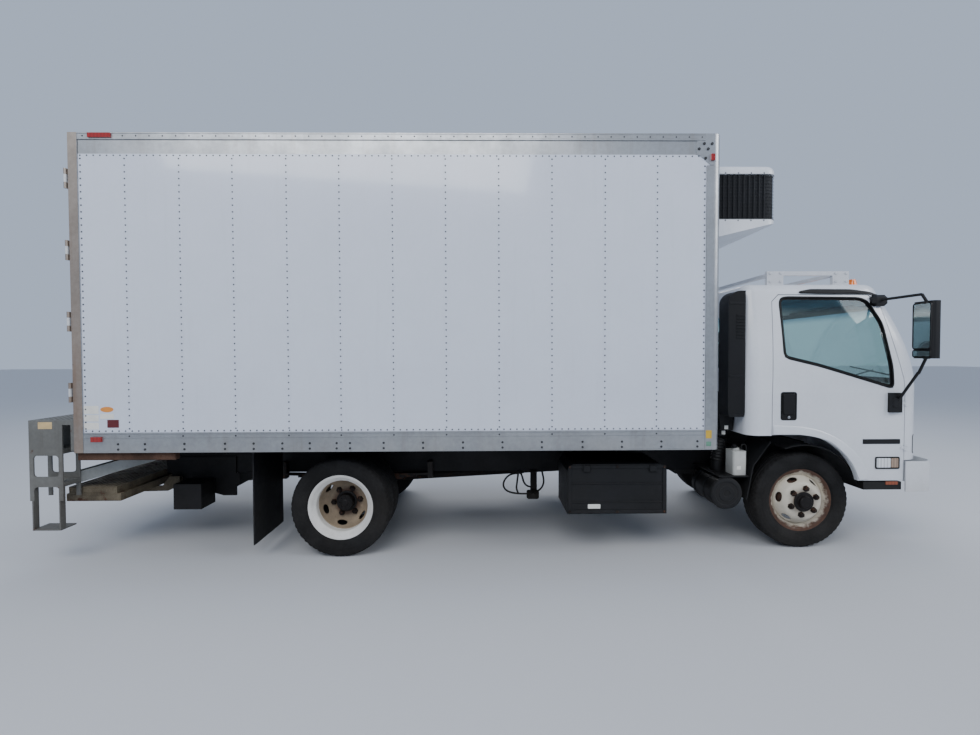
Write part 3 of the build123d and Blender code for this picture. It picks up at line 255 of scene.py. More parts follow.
class EffectBook:
    """Builds each shared node group once."""

    def __init__(self) -> None:
        """Start with no groups."""
        self.groups: dict[Effect, bpy.types.NodeTree] = {}

    def start(
        self, effect: Effect, inputs: dict[str, float], outputs: tuple[str, ...]
    ) -> tuple[Web, dict, bpy.types.Node]:
        """Open a group with named sockets.

        Args:
            effect: Which effect it is.
            inputs: Name and default of each number that goes in, next to the place.
            outputs: Names of the values that come out.

        Returns:
            The group's web, its inputs by name and its output node.
        """
        tree = bpy.data.node_groups.new(effect.value, "ShaderNodeTree")
        tree.interface.new_socket(name="Place", in_out="INPUT", socket_type="NodeSocketVector")
        for name, value in inputs.items():
            socket = tree.interface.new_socket(name=name, in_out="INPUT", socket_type="NodeSocketFloat")
            socket.default_value = value
        for name in outputs:
            tree.interface.new_socket(name=name, in_out="OUTPUT", socket_type="NodeSocketFloat")
        web = Web(tree)
        source = web.add("NodeGroupInput")
        sink = web.add("NodeGroupOutput")
        self.groups[effect] = tree
        return web, {socket.name: socket for socket in source.outputs}, sink

    def build(self) -> None:
        """Build every group.

        Grime is strongest at its foot and fades to its top, broken up by noise. Rust is where rough
        noise is above a level set by the amount. Streaks are noise drawn out in height.
        """
        web, given, sink = self.start(Effect.ROAD_GRIME, {"Foot": 0.2, "Top": 1.2, "Amount": 0.5}, ("Mask",))
        rise = web.span(web.height(given["Place"]), given["Top"], given["Foot"])
        cloud = web.span(web.noise(given["Place"], 3.2, 6.0, 0.62), 0.3, 0.66, 0.25, 1.0)
        speck = web.span(web.noise(given["Place"], 60.0, 3.0), 0.35, 0.7, 0.75, 1.0)
        body = web.sum("MULTIPLY", web.sum("MULTIPLY", rise, cloud), speck)
        web.feed(sink.inputs["Mask"], web.sum("MULTIPLY", body, given["Amount"], True))

        web, given, sink = self.start(Effect.RUST, {"Scale": 9.0, "Amount": 0.3}, ("Mask", "Height"))
        field_noise = web.noise(given["Place"], given["Scale"], 9.0, 0.68)
        level = web.sum("SUBTRACT", 0.78, web.sum("MULTIPLY", given["Amount"], 0.5))
        mask = web.span(field_noise, level, web.sum("ADD", level, 0.07))
        web.feed(sink.inputs["Mask"], mask)
        pits = web.noise(given["Place"], 240.0, 4.0, 0.7)
        web.feed(sink.inputs["Height"], web.sum("MULTIPLY", mask, pits))

        web, given, sink = self.start(Effect.MOTTLE, {"Scale": 2.5}, ("Value",))
        wide = web.noise(given["Place"], given["Scale"], 3.0)
        fine = web.noise(given["Place"], web.sum("MULTIPLY", given["Scale"], 14.0), 4.0)
        both = web.sum("ADD", web.sum("MULTIPLY", wide, 0.7), web.sum("MULTIPLY", fine, 0.3))
        web.feed(sink.inputs["Value"], web.span(both, 0.3, 0.7))

        web, given, sink = self.start(Effect.STREAKS, {"Scale": 14.0}, ("Mask",))
        drawn = web.stretch(given["Place"], (1.0, 1.0, 0.06))
        web.feed(sink.inputs["Mask"], web.span(web.noise(drawn, given["Scale"], 5.0, 0.6), 0.52, 0.74))

        web, given, sink = self.start(Effect.GRAIN, {"Scale": 420.0}, ("Height",))
        cells = web.add("ShaderNodeTexVoronoi", feature="SMOOTH_F1")
        web.feed(cells.inputs["Vector"], given["Place"])
        web.feed(cells.inputs["Scale"], given["Scale"])
        web.feed(sink.inputs["Height"], cells.outputs["Distance"])

        web, given, sink = self.start(Effect.BRUSHED, {"Scale": 90.0}, ("Height",))
        drawn = web.stretch(given["Place"], (0.03, 1.0, 1.0))
        web.feed(sink.inputs["Height"], web.noise(drawn, given["Scale"], 6.0, 0.7))

        web, given, sink = self.start(Effect.WAVES, {"Scale": 1.6}, ("Height",))
        web.feed(sink.inputs["Height"], web.noise(given["Place"], given["Scale"], 2.0, 0.4))

        web, given, sink = self.start(Effect.WEAVE, {"Scale": 900.0}, ("Height",))
        split = web.add("ShaderNodeSeparateXYZ")
        web.feed(split.inputs[0], given["Place"])
        along = web.sum("SINE", web.sum("MULTIPLY", split.outputs[1], given["Scale"]))
        across = web.sum(
            "SINE", web.sum("MULTIPLY", web.sum("ADD", split.outputs[2], split.outputs[0]), given["Scale"])
        )
        web.feed(sink.inputs["Height"], web.span(web.sum("MULTIPLY", along, across), -1.0, 1.0))

    def place(self, web: Web, effect: Effect, place: Socket, **numbers: float) -> bpy.types.Node:
        """Put a group into a material.

        Args:
            web: Web of the material.
            effect: Which group.
            place: Socket of the place.
            **numbers: Values of the group's inputs, by lower-case name.

        Returns:
            The group's node.
        """
        node = web.add("ShaderNodeGroup", node_tree=self.groups[effect])
        web.feed(node.inputs["Place"], place)
        for name, value in numbers.items():
            node.inputs[name.capitalize()].default_value = value
        return node


class Texture(Enum):
    """Small surface relief of a finish; all but NONE and CAST have a shared node group of the same name."""

    NONE = "none"
    GRAIN = "grain"
    BRUSHED = "brushed"
    WEAVE = "weave"
    CAST = "cast"


DUST = shade(134, 126, 113)
# Near-black of oil grime, also used as painted shade behind the wheel discs.
OIL_AND_SHADE = shade(26, 24, 23)
RUST_DARK = shade(48, 34, 27)
RUST_LIGHT = shade(96, 65, 47)


@dataclass(frozen=True)
class Finish:
    """One finish and the wear that goes with it."""

    name: str
    colour: Colour
    roughness: float = 0.5
    metallic: float = 0.0
    coat: float = 0.0
    mottle: float = 0.05
    mottle_scale: float = 2.5
    grime: float = 0.0
    grime_foot: float = 0.15
    grime_top: float = 1.2
    grime_colour: Colour = DUST
    rust: float = 0.0
    rust_scale: float = 9.0
    streaks: float = 0.0
    texture: Texture = Texture.NONE
    relief: float = 0.0
    waves: float = 0.0
    glow: float = 0.0
    clear: float = 0.0
    index: float = 1.5
    specular: float = 0.5
    coat_roughness: float = 0.06
    cast_scale: float = 130.0
    rust_relief: float = 0.0006

    def build(self, effects: EffectBook) -> bpy.types.Material:
        """Wire the finish as one material.

        Args:
            effects: The shared node groups.

        Returns:
            The material.
        """
        material = bpy.data.materials.new(self.name)
        material.use_nodes = True
        web = Web(material.node_tree)
        shader = material.node_tree.nodes["Principled BSDF"]
        place = web.add("ShaderNodeTexCoord").outputs["Object"]
        shader.inputs["IOR"].default_value = self.index
        shader.inputs["Specular IOR Level"].default_value = self.specular
        if self.coat > 0:
            shader.inputs["Coat Weight"].default_value = self.coat
            shader.inputs["Coat Roughness"].default_value = self.coat_roughness
        if self.clear > 0:
            shader.inputs["Transmission Weight"].default_value = self.clear
            shader.inputs["Metallic"].default_value = self.metallic
        if self.glow > 0:
            shader.inputs["Emission Color"].default_value = self.colour
            shader.inputs["Emission Strength"].default_value = self.glow
        mottle = effects.place(web, Effect.MOTTLE, place, scale=self.mottle_scale).outputs["Value"]
        low = (*[part * (1 - 1.6 * self.mottle) for part in self.colour[:3]], 1.0)
        high = (*[min(1.0, part * (1 + self.mottle)) for part in self.colour[:3]], 1.0)
        colour = web.mix(mottle, low, high)
        rough = web.span(mottle, 0.0, 1.0, self.roughness * 1.12, self.roughness * 0.92)
        metal: object = self.metallic
        heights: list[Socket] = []
        if self.streaks > 0:
            streak = effects.place(web, Effect.STREAKS, place).outputs["Mask"]
            amount = web.sum("MULTIPLY", streak, self.streaks, True)
            colour = web.mix(amount, colour, self.grime_colour)
        if self.grime > 0:
            node = effects.place(
                web, Effect.ROAD_GRIME, place, foot=self.grime_foot, top=self.grime_top, amount=self.grime
            )
            colour = web.mix(node.outputs["Mask"], colour, self.grime_colour)
            rough = web.sum("MAXIMUM", rough, web.sum("MULTIPLY", node.outputs["Mask"], 0.85))
            if self.metallic > 0:
                metal = web.sum("MULTIPLY", web.sum("SUBTRACT", 1.0, node.outputs["Mask"]), self.metallic)
        if self.rust > 0:
            node = effects.place(web, Effect.RUST, place, scale=self.rust_scale, amount=self.rust)
            tone = web.mix(web.noise(place, 55.0), RUST_DARK, RUST_LIGHT)
            colour = web.mix(node.outputs["Mask"], colour, tone)
            rough = web.sum("MAXIMUM", rough, web.sum("MULTIPLY", node.outputs["Mask"], 0.9))
            if self.metallic > 0:
                metal = web.sum("MULTIPLY", web.sum("SUBTRACT", 1.0, node.outputs["Mask"]), metal)
            heights.append(web.sum("MULTIPLY", node.outputs["Height"], self.rust_relief))
        if self.texture is Texture.CAST:
            heights.append(web.sum("MULTIPLY", web.noise(place, self.cast_scale, 6.0, 0.7), self.relief))
        elif self.texture is not Texture.NONE:
            node = effects.place(web, Effect[self.texture.name], place)
            heights.append(web.sum("MULTIPLY", node.outputs["Height"], self.relief))
        if self.waves > 0:
            node = effects.place(web, Effect.WAVES, place)
            heights.append(web.sum("MULTIPLY", node.outputs["Height"], self.waves))
        colour, rough = self.overlay(web, place, colour, rough)
        web.feed(shader.inputs["Base Color"], colour)
        web.feed(shader.inputs["Roughness"], rough)
        if self.clear == 0:
            web.feed(shader.inputs["Metallic"], metal)
        if heights:
            total = heights[0]
            for height in heights[1:]:
                total = web.sum("ADD", total, height)
            bump = web.add("ShaderNodeBump")
            bump.inputs["Strength"].default_value = 1.0
            bump.inputs["Distance"].default_value = 1.0
            web.feed(bump.inputs["Height"], total)
            web.feed(shader.inputs["Normal"], bump.outputs[0])
        return material

    def overlay(self, web: Web, place: Socket, colour: Socket, rough: Socket) -> tuple[Socket, Socket]:
        """Leave colour and roughness as they are; finishes with more to show change them here."""
        return colour, rough


@dataclass(frozen=True)
class WheelFinish(Finish):
    """Painted wheel whose rust grows at its rim edge and round its hub; painted shade darkens its barrel behind the
    disc.
    """

    axle_x: float = FRONT_AXLE_X
    edge: float = 0.6
    hub: float = 0.7
    shadow_y: float = 0.0

    def overlay(self, web: Web, place: Socket, colour: Socket, rough: Socket) -> tuple[Socket, Socket]:
        """Mix rust in by the distance from the axle.

        The mask is a soft step of the radius, shifted by noise so that its edge is ragged. Behind
        the disc, nearer the middle of the truck than the shadow's place, painted shade darkens the barrel
        towards near-black: it stands for the dark hollow seen through the hand holes, with a little real dirt.

        Args:
            web: Web of the material.
            place: Socket of the place.
            colour: Socket of the colour so far.
            rough: Socket of the roughness so far.

        Returns:
            Sockets of the colour and the roughness to use.
        """
        split = web.add("ShaderNodeSeparateXYZ")
        web.feed(split.inputs[0], web.stretch(place, (1.0, 1.0, 1.0), (-self.axle_x, 0.0, -AXLE_Z)))
        across = web.sum("POWER", split.outputs[0], 2.0)
        up = web.sum("POWER", split.outputs[2], 2.0)
        radius = web.sum("SQRT", web.sum("ADD", across, up))
        ragged = web.sum("MULTIPLY", web.sum("SUBTRACT", web.noise(place, 16.0, 8.0, 0.7), 0.5), 0.09)
        shifted = web.sum("ADD", radius, ragged)
        outer = web.sum("MULTIPLY", web.span(shifted, 0.216, 0.243), self.edge)
        inner = web.sum("MULTIPLY", web.span(shifted, 0.135, 0.088), self.hub)
        mask = web.sum("MAXIMUM", outer, inner)
        tone = web.mix(web.noise(place, 42.0), RUST_DARK, RUST_LIGHT)
        colour = web.mix(mask, colour, tone)
        # Painted shade: the barrel behind the disc goes near-black, for the hollow behind the hand holes, partly dirt.
        if self.shadow_y > 0:
            depth = web.span(web.sum("ABSOLUTE", split.outputs[1]), self.shadow_y, self.shadow_y - 0.012)
            colour = web.mix(web.sum("MULTIPLY", depth, 0.94), colour, OIL_AND_SHADE)
        return colour, web.sum("MAXIMUM", rough, web.sum("MULTIPLY", mask, 0.88))


@dataclass(frozen=True)
class LampFinish(Finish):
    """Lamp lens with ribs under its face."""

    ribs: float = 240.0

    def overlay(self, web: Web, place: Socket, colour: Socket, rough: Socket) -> tuple[Socket, Socket]:
        """Darken the colour in narrow upright bands, as the ribs behind a lens do.

        Args:
            web: Web of the material.
            place: Socket of the place.
            colour: Socket of the colour so far.
            rough: Socket of the roughness so far.

        Returns:
            Sockets of the colour and the roughness to use.
        """
        split = web.add("ShaderNodeSeparateXYZ")
        web.feed(split.inputs[0], place)
        run = web.sum("ADD", split.outputs[0], split.outputs[1])
        wave = web.sum("SINE", web.sum("MULTIPLY", run, self.ribs))
        dark = (*[part * 0.45 for part in self.colour[:3]], 1.0)
        return web.mix(web.span(wave, -1.0, 1.0, 0.0, 0.5), colour, dark), rough


@dataclass(frozen=True)
class GlassFinish(Finish):
    """Window glass with a darker band along its top."""

    band: Colour = shade(92, 146, 166)
    fade_low: float = 1.95
    fade_high: float = 2.03

    def overlay(self, web: Web, place: Socket, colour: Socket, rough: Socket) -> tuple[Socket, Socket]:
        """Mix the band's colour in by height, with an edge that soft noise shifts.

        Args:
            web: Web of the material.
            place: Socket of the place.
            colour: Socket of the colour so far.
            rough: Socket of the roughness so far.

        Returns:
            Sockets of the colour and the roughness to use.
        """
        shift = web.sum("MULTIPLY", web.sum("SUBTRACT", web.noise(place, 5.0), 0.5), 0.03)
        level = web.sum("ADD", web.height(place), shift)
        return web.mix(web.span(level, self.fade_low, self.fade_high), colour, self.band), rough


WHEEL_LOOK = dict(roughness=0.5, coat=0.15, mottle=0.06, mottle_scale=6.0, grime=0.35, grime_top=0.75)
FINISHES: dict[str, Finish] = {
    finish.name: finish
    for finish in (
        Finish("cab_paint", shade(214, 217, 222), 0.32, coat=0.6, mottle=0.03, grime=0.3, grime_top=1.15),
        # panel_white: the blue tint of this white is painted skylight shade, for a side that stands in shade.
        Finish(
            "panel_white", shade(208, 214, 226), 0.16, coat=0.7, mottle=0.015, grime=0.1, grime_top=1.5, streaks=0.04,
            waves=0.0035
        ),
        Finish(
            "rail_alloy", shade(168, 171, 174), 0.36, 0.85, mottle=0.12, grime=0.4, grime_foot=0.8, grime_top=1.15,
            streaks=0.25, texture=Texture.BRUSHED, relief=0.0003
        ),
        Finish(
            "door_white", shade(206, 208, 210), 0.3, coat=0.4, mottle=0.05, grime=0.45, grime_foot=0.9, grime_top=2.2,
            streaks=0.15, waves=0.002
        ),
        Finish(
            "frame_steel", shade(19, 19, 21), 0.62, 0.1, mottle=0.2, grime=0.5, grime_top=1.1,
            grime_colour=shade(46, 42, 38), rust=0.22, texture=Texture.CAST, relief=0.0004, specular=0.3
        ),
        Finish(
            "axle_iron", shade(25, 23, 22), 0.75, 0.2, mottle=0.25, grime=0.6, grime_colour=shade(52, 46, 40), rust=0.4,
            texture=Texture.CAST, relief=0.001, specular=0.3
        ),
        Finish(
            "spring_steel", shade(34, 31, 30), 0.7, 0.3, mottle=0.2, grime=0.5, grime_colour=shade(62, 54, 46), rust=0.5
        ),
        Finish(
            "engine_iron", shade(52, 51, 50), 0.7, 0.3, mottle=0.25, grime=0.5, grime_colour=OIL_AND_SHADE, rust=0.2,
            texture=Texture.CAST, relief=0.001
        ),
        Finish(
            "lift_grey", shade(114, 114, 110), 0.6, 0.2, mottle=0.16, grime=0.6, grime_top=1.3,
            grime_colour=shade(78, 70, 60), rust=0.3, streaks=0.25
        ),
        # lift_worn: its brown is darkened partly as painted shade of the folded platform under the body, partly for
        # wear.
        Finish(
            "lift_worn", shade(112, 103, 86), 0.7, 0.2, mottle=0.32, mottle_scale=7.0, grime=0.5,
            grime_colour=shade(72, 60, 48), rust=0.45, rust_scale=6.0, streaks=0.25, specular=0.3
        ),
        Finish("wheel_cream", shade(206, 198, 180), **WHEEL_LOOK),
        Finish(
            "tyre_rubber", shade(19, 19, 20), 0.82, mottle=0.25, mottle_scale=5.0, grime=0.3, grime_top=0.95,
            grime_colour=shade(62, 57, 51), texture=Texture.GRAIN, relief=0.0004, specular=0.3
        ),
        Finish(
            "trim_black", shade(15, 15, 17), 0.5, mottle=0.2, grime=0.2, grime_colour=shade(70, 66, 60),
            texture=Texture.GRAIN, relief=0.0002, specular=0.3
        ),
        Finish(
            "flap_rubber", shade(17, 18, 21), 0.62, mottle=0.25, grime=0.35, grime_top=0.9,
            grime_colour=shade(58, 55, 51), texture=Texture.GRAIN, relief=0.0005, specular=0.3
        ),
        Finish("tank_white", shade(196, 196, 190), 0.4, mottle=0.08, grime=0.4, grime_colour=shade(120, 110, 92)),
        Finish(
            "tank_steel", shade(96, 98, 100), 0.42, 0.8, mottle=0.15, grime=0.6, rust=0.15, texture=Texture.BRUSHED,
            relief=0.0002
        ),
        Finish(
            "box_black", shade(16, 17, 20), 0.55, mottle=0.2, grime=0.35, grime_top=0.9, grime_colour=shade(56, 53, 49),
            texture=Texture.GRAIN, relief=0.0003, specular=0.3
        ),
        Finish("muffler_steel", shade(92, 84, 76), 0.55, 0.8, mottle=0.25, grime=0.4, rust=0.6),
        Finish("bumper_white", shade(210, 212, 215), 0.38, coat=0.4, mottle=0.04, grime=0.4, grime_top=0.9),
        Finish("unit_white", shade(218, 221, 226), 0.34, coat=0.3, mottle=0.04, streaks=0.08),
        Finish("unit_mesh", shade(15, 18, 24), 0.55, mottle=0.2, texture=Texture.GRAIN, relief=0.0012, specular=0.3),
        GlassFinish("cab_glazing", shade(216, 238, 234), 0.02, mottle=0.02, clear=0.97, index=1.45),
        LampFinish("lamp_clear", shade(222, 226, 230), 0.08, mottle=0.04, coat=0.6),
        LampFinish("lamp_red", shade(150, 24, 20), 0.14, mottle=0.05, coat=0.6, glow=0.1),
        LampFinish("lamp_amber", shade(222, 112, 22), 0.14, mottle=0.05, coat=0.6, glow=0.3),
        Finish(
            "seat_cloth", shade(58, 60, 64), 0.9, mottle=0.18, mottle_scale=8.0, texture=Texture.WEAVE, relief=0.0006
        ),
        Finish("dash_grey", shade(70, 72, 75), 0.62, mottle=0.08, texture=Texture.GRAIN, relief=0.0003),
        Finish(
            "rack_white", shade(204, 207, 212), 0.42, coat=0.2, mottle=0.06, grime=0.15, grime_foot=2.0, grime_top=2.6,
            rust=0.1
        ),
        Finish(
            "mirror_black", shade(14, 14, 16), 0.45, mottle=0.15, texture=Texture.GRAIN, relief=0.0002, specular=0.35
        ),
    )
}
REAR_WHEELS = WheelFinish(
    "wheel_cream_rear", shade(226, 224, 218), axle_x=REAR_AXLE_X, edge=0.12, hub=0.3, shadow_y=0.94, **WHEEL_LOOK
)
REAR_DISH = WheelFinish(
    "wheel_dish_rear", shade(150, 134, 112), 0.7, mottle=0.16, mottle_scale=9.0, grime=0.6, grime_top=0.9,
    grime_colour=shade(104, 88, 70), rust=0.3, rust_scale=14.0, axle_x=REAR_AXLE_X, edge=0.0, hub=0.85
)
FRONT_WHEELS = WheelFinish(
    "wheel_cream_front", shade(206, 198, 180), axle_x=FRONT_AXLE_X, edge=1.0, hub=0.4, **WHEEL_LOOK
)
FRONT_BARREL = WheelFinish(
    "wheel_barrel_front", shade(196, 186, 168), axle_x=FRONT_AXLE_X, edge=1.0, hub=0.0, shadow_y=0.85, **WHEEL_LOOK
)
LUG_IRON = Finish("lug_iron", shade(34, 28, 25), 0.65, 0.35, mottle=0.25, rust=0.5, rust_scale=40.0, specular=0.3)
HUB_GREASE = Finish("hub_grease", shade(22, 19, 18), 0.5, 0.3, mottle=0.3, rust=0.2, rust_scale=24.0, specular=0.35)
DRUM_IRON = Finish("drum_iron", shade(30, 26, 24), 0.75, 0.2, mottle=0.25, rust=0.7, rust_scale=20.0)
RIVET_DARK = Finish("rivet_dark", shade(76, 80, 90), 0.5, 0.3, mottle=0.12)
BOLT_DARK = Finish("rail_bolt_steel", shade(62, 62, 64), 0.5, 0.5, mottle=0.2, rust=0.3, rust_scale=60.0)
BLANK_WHITE = Finish("blank_white", shade(224, 222, 214), 0.5, mottle=0.06, mottle_scale=9.0)
BLANK_CREAM = Finish("blank_cream", shade(206, 178, 128), 0.5, mottle=0.1, mottle_scale=20.0)
BLANK_ORANGE = Finish("blank_orange", shade(214, 138, 62), 0.5, mottle=0.06)
BLANK_RED = Finish("blank_red", shade(92, 24, 30), 0.5, mottle=0.06)
BLANK_YELLOW = Finish("blank_yellow", shade(196, 160, 54), 0.5, mottle=0.1, mottle_scale=20.0)
BLANK_GREEN = Finish("blank_green", shade(96, 140, 118), 0.5, mottle=0.1, mottle_scale=20.0)
GASKET = Finish("gasket_rubber", shade(9, 9, 10), 0.55, mottle=0.15, specular=0.25)
MIRROR_GLASS = Finish("mirror_glass", shade(220, 224, 228), 0.03, 1.0, mottle=0.01)
CHROME = Finish("lock_steel", shade(176, 178, 180), 0.28, 0.95, mottle=0.1, rust=0.12, streaks=0.1)
REAR_POST = Finish(
    "rear_post_alloy", shade(158, 148, 138), 0.42, 0.7, mottle=0.15, grime=0.5, grime_foot=0.8, grime_top=3.3,
    grime_colour=shade(122, 92, 70), rust=0.3, rust_scale=5.0, streaks=0.45, texture=Texture.BRUSHED, relief=0.0003
)
SILL_BROWN = Finish(
    "sill_brown", shade(74, 50, 38), 0.85, mottle=0.3, mottle_scale=7.0, grime=0.3, rust=0.4, texture=Texture.CAST,
    relief=0.0008, specular=0.25
)
BRACE_GREY = Finish(
    "brace_grey", shade(140, 143, 142), 0.55, 0.3, mottle=0.15, grime=0.5, grime_colour=shade(92, 84, 72), rust=0.25
)
LENS_SMOKED = LampFinish("lamp_smoked", shade(158, 134, 114), 0.14, mottle=0.05, coat=0.6)
REFLECTOR = LampFinish("reflector_dull", shade(146, 70, 38), 0.3, mottle=0.1, coat=0.3)
SEAT_PIPING = Finish("seat_piping", shade(34, 35, 38), 0.7, mottle=0.1)
HOSE = Finish("hose_rubber", shade(13, 13, 14), 0.5, mottle=0.2, grime=0.15, specular=0.35)


class FinishShelf:
    """Keeps one material for each finish."""

    def __init__(self) -> None:
        """Build the shared node groups."""
        self.effects = EffectBook()
        self.effects.build()
        self.made: dict[str, bpy.types.Material] = {}

    def take(self, finish: Finish) -> bpy.types.Material:
        """Give the material of a finish, built on its first use.

        Args:
            finish: The finish.

        Returns:
            Its material.
        """
        if finish.name not in self.made:
            self.made[finish.name] = finish.build(self.effects)
        return self.made[finish.name]


@dataclass
class Camera:
    """Camera that stands where the photograph was taken."""

    place: Point = (-0.131, -5.123, 1.627)
    yaw: float = 0.0126
    pitch: float = -0.0246
    roll: float = -0.0031
    lens_pixels: float = 507.3
    frame_pixels: float = 980.0
    sensor: float = 36.0
    clip_end: float = 200.0

    def build(self) -> None:
        """Make the camera.

        It looks along +Y turned by the yaw towards +X and by the pitch upwards, then rolls about
        its own axis.
        """
        ahead_axis = np.array((
            math.sin(self.yaw) * math.cos(self.pitch),
            math.cos(self.yaw) * math.cos(self.pitch),
            math.sin(self.pitch),
        ))
        right = np.array((math.cos(self.yaw), -math.sin(self.yaw), 0.0))
        up = np.cross(right, ahead_axis)
        rolled_right = math.cos(self.roll) * right + math.sin(self.roll) * up
        rolled_up = math.cos(self.roll) * up - math.sin(self.roll) * right
        data = bpy.data.cameras.new("camera")
        data.sensor_width = self.sensor
        data.sensor_fit = "HORIZONTAL"
        data.lens = self.lens_pixels / self.frame_pixels * self.sensor
        data.clip_end = self.clip_end
        camera = bpy.data.objects.new("camera", data)
        bpy.context.scene.collection.objects.link(camera)
        columns = np.column_stack((rolled_right, rolled_up, -ahead_axis, self.place))
        camera.matrix_world = Matrix([*columns.tolist(), (0.0, 0.0, 0.0, 1.0)])
        bpy.context.scene.camera = camera


@dataclass
class Studio:
    """Pale floor, pale surroundings and soft lamps."""

    floor_half: float = 60.0
    floor_colour: Colour = shade(200, 201, 203)
    floor_roughness: float = 0.7
    sky_colour: Colour = shade(206, 222, 248)
    sky_strength: float = 0.72
    lamps: tuple[tuple[str, Point, Point, Pair, float], ...] = (
        ("key_lamp", (-3.0, -9.0, 8.0), (48.0, 0.0, -12.0), (9.0, 5.0), 700.0),
        ("front_lamp", (9.5, -5.0, 6.0), (60.0, 0.0, 60.0), (6.0, 4.0), 380.0),
        ("back_lamp", (0.0, 9.0, 8.0), (-50.0, 0.0, 0.0), (10.0, 5.0), 520.0),
    )

    def build(self) -> None:
        """Make the floor, the world and the lamps."""
        mesh = bpy.data.meshes.new("studio_floor")
        half = self.floor_half
        mesh.from_pydata([(-half, -half, 0), (half, -half, 0), (half, half, 0), (-half, half, 0)], [], [(0, 1, 2, 3)])
        floor = bpy.data.objects.new("studio_floor", mesh)
        bpy.context.scene.collection.objects.link(floor)
        material = bpy.data.materials.new("studio_floor")
        material.use_nodes = True
        web = Web(material.node_tree)
        shader = material.node_tree.nodes["Principled BSDF"]
        place = web.add("ShaderNodeTexCoord").outputs["Object"]
        low = (*[part * 0.97 for part in self.floor_colour[:3]], 1.0)
        web.feed(shader.inputs["Base Color"], web.mix(web.noise(place, 1.2), low, self.floor_colour))
        shader.inputs["Roughness"].default_value = self.floor_roughness
        mesh.materials.append(material)
        world = bpy.data.worlds.new("studio_world")
        world.use_nodes = True
        bpy.context.scene.world = world
        background = world.node_tree.nodes["Background"]
        background.inputs["Color"].default_value = self.sky_colour
        background.inputs["Strength"].default_value = self.sky_strength
        for lamp in self.lamps:
            self.lamp(*lamp)

    def lamp(self, name: str, place: Point, turn: Point, size: Pair, power: float) -> None:
        """Add one soft rectangular lamp.

        Args:
            name: Name of the lamp.
            place: Where it hangs.
            turn: Turns about X, Y and Z in degrees.
            size: Width and height.
            power: Watts.
        """
        data = bpy.data.lights.new(name, "AREA")
        data.shape = "RECTANGLE"
        data.size, data.size_y = size
        data.energy = power
        lamp = bpy.data.objects.new(name, data)
        bpy.context.scene.collection.objects.link(lamp)
        lamp.location = place
        lamp.rotation_euler = [math.radians(angle) for angle in turn]


class SolidDresser:
    """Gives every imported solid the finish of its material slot."""

    special: dict[str, Finish] = {
        "front_rim_left": FRONT_WHEELS,
        "front_rim_right": FRONT_WHEELS,
        "rear_rims_left": REAR_WHEELS,
        "rear_rims_right": REAR_WHEELS,
        "rear_frame": REAR_POST,
        # liftgate_frame takes near-black frame steel instead of its grey: partly painted shade under the body, partly
        # its dark worn steel.
        "liftgate_frame": FINISHES["frame_steel"],
    }

    def __init__(self, shelf: FinishShelf, frame: dict) -> None:
        """Keep the finishes and the frame."""
        self.shelf = shelf
        self.frame = frame

    def build(self) -> None:
        """Assign one finish to each solid's own material slots."""
        slots = {row["node"]: row["material_slot"] for row in self.frame["record"]["subparts"]}
        for node, solid in self.frame["nodes"].items():
            finish = self.special.get(node, FINISHES[slots[node]])
            material = self.shelf.take(finish)
            if not solid.material_slots:
                solid.data.materials.append(material)
            for slot in solid.material_slots:
                slot.link = "OBJECT"
                slot.material = material
        LOG.info("dressed %d solids", len(slots))


class Side(Enum):
    """Sides of the truck, by the sign of Y."""

    RIGHT = -1
    LEFT = 1

    @property
    def word(self) -> str:
        """Word that ends the names of this side's pieces."""
        return "right" if self is Side.RIGHT else "left"


def rounded(corners: object, radius: float, steps: int = 5, closed: bool = True) -> np.ndarray:
    """Round the corners of a path of straight runs, in two or three dimensions.

    Each corner becomes a parabola between points one radius back and one radius on, but never
    further than half a run: (1-t)^2 first + 2 t (1-t) corner + t^2 last.

    Args:
        corners: The corner points, in order.
        radius: How far from a corner its curve starts.
        steps: Points on each curve.
        closed: Whether the path returns to its start.

    Returns:
        All points of the rounded path.
    """
    points = np.asarray(corners, float)
    back = np.roll(points, 1, axis=0) - points
    forth = np.roll(points, -1, axis=0) - points
    back_length = np.linalg.norm(back, axis=1, keepdims=True)
    forth_length = np.linalg.norm(forth, axis=1, keepdims=True)
    first = points + back / back_length * np.minimum(radius, back_length / 2)
    last = points + forth / forth_length * np.minimum(radius, forth_length / 2)
    t = np.linspace(0.0, 1.0, steps)[None, :, None]
    curves = (1 - t) ** 2 * first[:, None] + 2 * t * (1 - t) * points[:, None] + t**2 * last[:, None]
    if closed:
        return curves.reshape(-1, points.shape[1])
    middle = curves[1:-1].reshape(-1, points.shape[1])
    return np.vstack((points[:1], middle, points[-1:]))


def moved_in(outline: np.ndarray, distance: float) -> np.ndarray:
    """Move a closed outline inwards along the normals of its points.

    The normal is the mean run through a point turned by a quarter, pointed inwards by the sign of
    the outline's area.

    Args:
        outline: Closed outline.
        distance: How far it moves; below zero it moves outwards.

    Returns:
        The moved outline.
    """
    run = np.roll(outline, -1, axis=0) - np.roll(outline, 1, axis=0)
    run = run / np.maximum(np.linalg.norm(run, axis=1, keepdims=True), 1e-9)
    following = np.roll(outline, -1, axis=0)
    area = np.sum(outline[:, 0] * following[:, 1] - following[:, 0] * outline[:, 1])
    inward = np.column_stack((-run[:, 1], run[:, 0])) * np.sign(area)
    return outline + inward * distance


def box_outline(low: Pair, high: Pair, radius: float = 0.004, steps: int = 4) -> np.ndarray:
    """Give a rectangle with rounded corners as a closed outline."""
    corners = ((low[0], low[1]), (high[0], low[1]), (high[0], high[1]), (low[0], high[1]))
    return rounded(corners, radius, steps)


def even_turns(count: int) -> np.ndarray:
    """Give even steps round a full circle, in radians."""
    return np.arange(count) / count * 2 * math.pi


